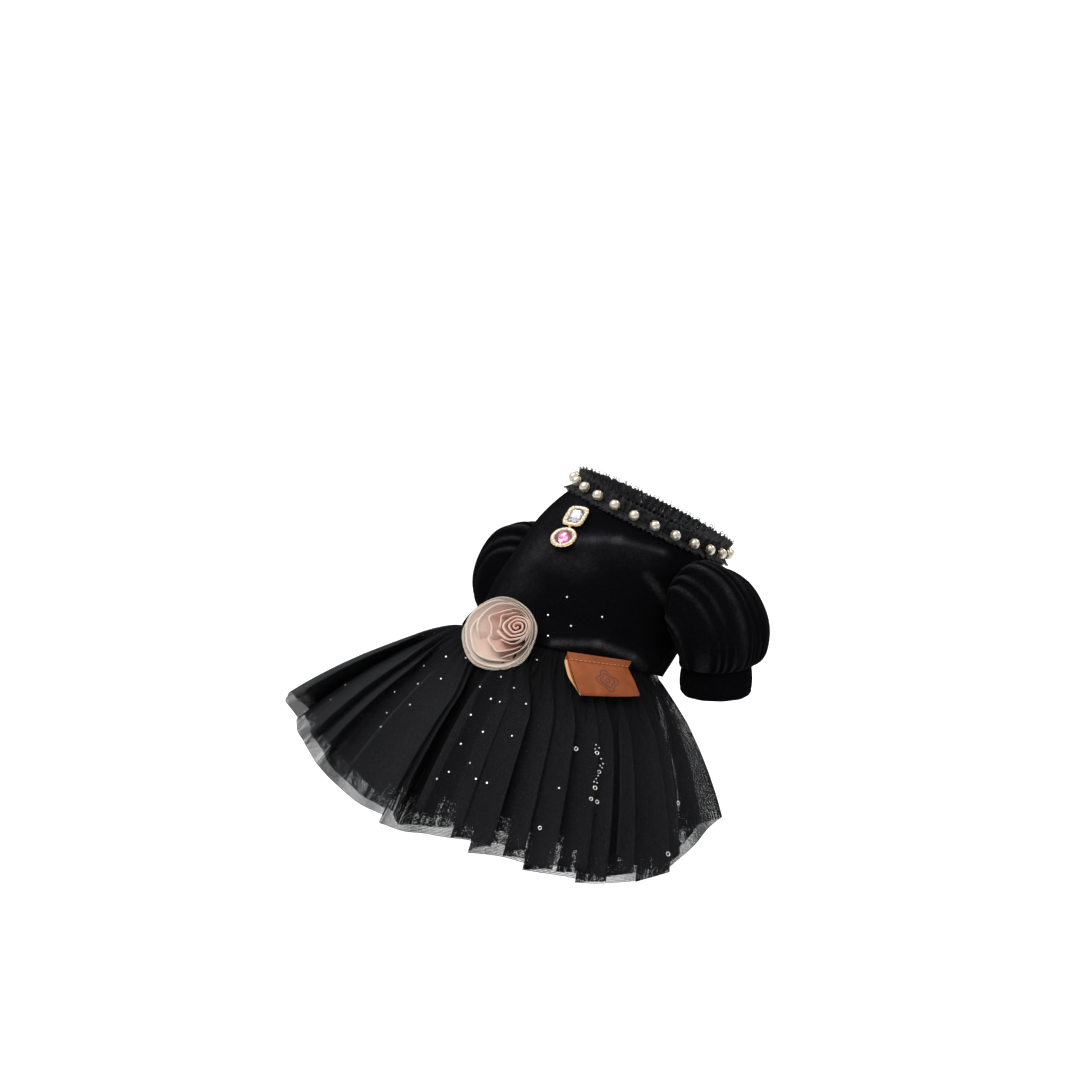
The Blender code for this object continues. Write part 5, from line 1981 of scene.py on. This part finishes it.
def skirt_grid(level, length, left, right, folds, seed, depth):
    """One gathered layer, tucked under the bodice's edge, and the painted light and shade of its places. Its
    fine gathers open into broad folds and a straight cut hem."""
    rows, columns = 30, 430
    lies, height, crest = pleat_curve(columns, folds, seed)
    even = np.linspace(0.0, 1.0, columns)
    share = np.linspace(0.0, 1.0, rows)[:, None]
    open_out = fade(share, 0.0, 0.40)
    place = -left + (even + (lies - even) * open_out) * (left + right)
    angle = place * SKIRT_SPREAD
    lift = FOLD_DEPTH * depth * share**0.8 * height - level * LAYER_GAP * share
    fine = 0.0012 * np.sin(2 * pi * 5.2 * folds * even + seed + 2 * np.sin(7 * even + seed))
    lift = lift + fine * fade(share, 0.0, 0.06) * (1 - fade(share, 0.10, 0.50))
    ripple = 0.0011 * np.sin(2 * pi * 2.6 * folds * even + 3 * seed) * share * fade(share, 0.3, 1.0)
    near_end = fade(place, 0.60, 1.0)
    far_side = np.exp(-(((place + 0.47) / 0.17) ** 2))
    drawn_in = 0.003 * level * near_end + 0.020 * min(level / 0.45, 1.0) * far_side
    lift = lift + ripple - drawn_in * share
    cut = 1 + 0.012 * np.sin(9 * even + seed) + 0.008 * np.sin(23 * even + 2 * seed)
    cut = cut + 0.060 * np.exp(-(((place - 0.60) / 0.20) ** 2)) - 0.10 * fade(place, 0.78, 1.0)
    skirt = skirt_point(angle, share * length * cut, level, lift)
    tucked = -VELVET - 0.0008 - 0.0011 * level
    tucked = np.full(columns, tucked) + 0.3 * fine
    heading = [bodice_point(angle[0], np.full(columns, up), tucked) for up in (0.035, 0.004)]
    # Painted light on the panels' crests and painted shade in the folds between them, and near the waist
    painted_light_and_shade = 0.26 + (0.85 * crest**1.4 - 0.26) * fade(share, 0.02, 0.45)
    # Painted light: the layer is painted lighter at one end of its spread than at the other
    painted_light_and_shade = painted_light_and_shade * (1.30 - 0.65 * fade(place, -0.45, 0.25))
    # The two heading rows under the bodice's edge carry painted shade
    return np.concatenate([np.array(heading), skirt]), np.concatenate([0.2 * np.ones((2, columns)), painted_light_and_shade])


class DRESS_OT_skirt(bpy.types.Operator):
    """Makes the gathered layers of tulle, from the dense lining to the sheer top one"""

    bl_idname = "dress.skirt"
    bl_label = "Skirt"

    def execute(self, context):
        centre = waist_axes()[0]
        for name, node, level, length, left, right, folds, seed, depth, material_name in SKIRT_LAYERS:
            grid, painted_light_and_shade = skirt_grid(level, length, left, right, folds, seed, depth)
            grid, painted_light_and_shade = turned_in(grid, False, centre, painted_light_and_shade)
            hem = float(np.linalg.norm(np.diff(grid[-1], axis=0), axis=1).sum())
            fall = length * SKIRT_LENGTH
            made = cloth(name, grid, False, material_name, TULLE, hem, fall, level)
            lay_painted_light_and_shade(made, painted_light_and_shade)
            settle(made)
            if node:
                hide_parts(node)
        return {"FINISHED"}


# Sparkle

def view_axes():
    """The view's right, up and towards the camera, the point it looks at and the camera's place."""
    a, e = VIEW_AZIMUTH, VIEW_ELEVATION
    right = Vector((cos(a), sin(a), 0.0))
    up = Vector((-sin(a) * sin(e), cos(a) * sin(e), cos(e)))
    near = Vector((sin(a) * cos(e), -cos(a) * cos(e), sin(e)))
    aim = WAIST_MIDDLE + VIEW_AIM[0] * right + VIEW_AIM[1] * up
    return right, up, near, aim, aim + near * VIEW_DISTANCE


def tree_of(names):
    """A search tree over the finished meshes of some pieces, in world places."""
    graph = bpy.context.evaluated_depsgraph_get()
    points, faces = [], []
    for name in names:
        mesh = bpy.data.objects[name].evaluated_get(graph).to_mesh()
        base = len(points)
        points += [corner.co.copy() for corner in mesh.vertices]
        faces += [tuple(base + index for index in polygon.vertices) for polygon in mesh.polygons]
    return BVHTree.FromPolygons(points, faces)


def seen_places(tree, pixels):
    """Where the lines of sight through these pixels of the reference meet the cloth, and its facing."""
    right, up, _, aim, camera = view_axes()
    places, facing = [], []
    for across, down in pixels:
        off = (across - PICTURE / 2) / PICTURE * VIEW_WIDTH
        rise = (PICTURE / 2 - down) / PICTURE * VIEW_WIDTH
        target = aim + off * right + rise * up
        way = (target - camera).normalized()
        place, normal, _, _ = tree.ray_cast(camera, way)
        if place is None:
            continue
        if normal.dot(way) > 0:
            normal = -normal
        places.append(place)
        facing.append(normal)
    return np.array(places), np.array(facing)


def scattered_places(tree, count, seed):
    """Places on the top layer away from the reference's view, with their outward directions."""
    random = np.random.default_rng(seed)
    angle = random.uniform(-0.95, 0.95, count) * SKIRT_SPREAD
    share = random.uniform(0.08, 0.85, count)
    outside = skirt_point(angle, share, 0.0, np.full(count, 0.05))
    inside = skirt_point(angle, share, 0.0, np.zeros(count))
    near = np.array(view_axes()[2])
    places, facing = [], []
    for start, end in zip(outside, inside):
        way = unit(end - start)
        if -way @ near > 0.25:
            continue
        place, normal, _, _ = tree.ray_cast(Vector(start), Vector(way))
        if place is None:
            continue
        if normal.dot(Vector(way)) > 0:
            normal = -normal
        places.append(place)
        facing.append(normal)
    return np.array(places), np.array(facing)


class DRESS_OT_sparkle(bpy.types.Operator):
    """Sets the small rhinestones, ring sequins and seed beads on the tulle and the velvet"""

    bl_idname = "dress.sparkle"
    bl_label = "Rhinestones and sequins"

    def execute(self, context):
        tree = tree_of(["bodice_velvet", "puff_left", "tulle_top", "tulle_over"])
        seen, seen_out = seen_places(tree, SEEN_DOTS)
        far, far_out = scattered_places(tree, 46, 12)
        dots = np.concatenate([seen, far]), np.concatenate([seen_out, far_out])
        rings = seen_places(tree, SEEN_RINGS)
        beads = seen_places(tree, SEEN_BEADS)
        size = sizes()
        sets = (
            # name, shape, places and facing, size, flat
            ("rhinestones", gem_shape, dots, size.dot_size, True),
            ("ring_sequins", lambda body: ring_shape(body, 0.19, 16, 6, 0.6), rings, size.ring_size, False),
            ("seed_beads", lambda body: ball(body, 10, 7), beads, size.bead_size, False),
        )
        for name, shape, (places, facing), across, flat in sets:
            places = places + SEAM_GAP * facing
            ahead = unit(np.cross(facing, ALONG))
            helper = shape_of(name + "_shape", shape)
            made = set_on_points(
                name, helper, places, facing, ahead, across, "rhinestone", spread=0.12, seed=6, flat=flat
            )
            settle(made)
        return {"FINISHED"}


# Stage

class DRESS_OT_stage(bpy.types.Operator):
    """Makes the pale floor, the soft light and the camera"""

    bl_idname = "dress.stage"
    bl_label = "Stage"

    def execute(self, context):
        scene = context.scene
        low = CAD_BOX[0][2] - FLOOR_BELOW
        reach = 12.0
        floor = piece(
            "floor",
            [(-reach, -reach, low), (reach, -reach, low), (reach, reach, low), (-reach, reach, low)],
            [(0, 1, 2, 3)],
            "backdrop",
        )
        world = bpy.data.worlds.new("studio")
        world.use_nodes = True
        shade = world.node_tree
        background = shade.nodes["Background"]
        sky = shade.nodes.new("ShaderNodeTexCoord").outputs["Generated"]
        rise = put(shade, "ShaderNodeSeparateXYZ", {0: sky})
        soft = ranged(shade, rise.outputs["Z"], -0.3, 1.0, 0.40, 1.15)
        straight = shade.nodes.new("ShaderNodeLightPath").outputs["Is Camera Ray"]
        strength = put(shade, "ShaderNodeMix", {"Factor": straight, 2: soft, 3: 1.1}, data_type="FLOAT")
        shade.links.new(strength.outputs[0], background.inputs["Strength"])
        background.inputs["Color"].default_value = (1.0, 1.0, 1.0, 1.0)
        scene.world = world
        right, up, near, aim, camera_place = view_axes()
        lamps = (
            # name, right, up, near, size, power
            ("key", -1.1, 1.3, 1.2, 0.9, 14.0),
            ("rim", 1.3, 1.2, -0.9, 0.7, 12.0),
        )
        for name, to_right, to_up, to_near, size, power in lamps:
            light = bpy.data.lights.new(name, "AREA")
            light.size = size
            light.energy = power
            lamp = bpy.data.objects.new(name, light)
            lamp.location = aim + to_right * right + to_up * up + to_near * near
            lamp.rotation_mode = "QUATERNION"
            lamp.rotation_quaternion = (aim - lamp.location).to_track_quat("-Z", "Y")
            scene.collection.objects.link(lamp)
        sun = bpy.data.objects.new("sun", bpy.data.lights.new("sun", "SUN"))
        sun.data.energy = 1.9
        sun.data.angle = radians(50)
        sun.rotation_mode = "QUATERNION"
        sun.rotation_quaternion = (-(0.9 * up - 0.25 * right + 0.35 * near)).to_track_quat("-Z", "Y")
        scene.collection.objects.link(sun)
        data = bpy.data.cameras.new("camera")
        data.sensor_width = SENSOR
        data.lens = SENSOR * VIEW_DISTANCE / VIEW_WIDTH
        camera = bpy.data.objects.new("camera", data)
        camera.location = camera_place
        camera.rotation_mode = "QUATERNION"
        camera.rotation_quaternion = (-near).to_track_quat("-Z", "Y")
        scene.collection.objects.link(camera)
        scene.camera = camera
        scene.view_settings.view_transform = "Standard"
        return {"FINISHED"}


class DRESS_PT_panel(bpy.types.Panel):
    """Lists the makers of the dress"""

    bl_label = "Velvet dress"
    bl_idname = "DRESS_PT_panel"
    bl_space_type = "VIEW_3D"
    bl_region_type = "UI"
    bl_category = "Dress"

    def draw(self, context):
        for maker in MAKERS:
            self.layout.operator(maker.bl_idname)
        for group in (context.scene.dress_sizes, context.scene.dress_colours):
            for key in group.__annotations__:
                self.layout.prop(group, key)


MAKERS = (
    DRESS_OT_stage,
    DRESS_OT_materials,
    DRESS_OT_bodice,
    DRESS_OT_sleeves,
    DRESS_OT_collar,
    DRESS_OT_pearls,
    DRESS_OT_brooch,
    DRESS_OT_rose,
    DRESS_OT_tag,
    DRESS_OT_skirt,
    DRESS_OT_sparkle,
)
CLASSES = (DressColours, DressSizes, *MAKERS, DRESS_PT_panel)


def register():
    for each in CLASSES:
        bpy.utils.register_class(each)
    bpy.types.Scene.dress_colours = bpy.props.PointerProperty(type=DressColours)
    bpy.types.Scene.dress_sizes = bpy.props.PointerProperty(type=DressSizes)


def unregister():
    del bpy.types.Scene.dress_sizes
    del bpy.types.Scene.dress_colours
    for each in reversed(CLASSES):
        bpy.utils.unregister_class(each)


def main():
    register()
    bpy.ops.dress.materials()
    bpy.ops.dress.stage()
    bpy.ops.dress.bodice()
    bpy.ops.dress.sleeves()
    bpy.ops.dress.collar()
    bpy.ops.dress.pearls()
    bpy.ops.dress.brooch()
    bpy.ops.dress.rose()
    bpy.ops.dress.tag()
    bpy.ops.dress.skirt()
    bpy.ops.dress.sparkle()


if __name__ == "__main__":
    main()
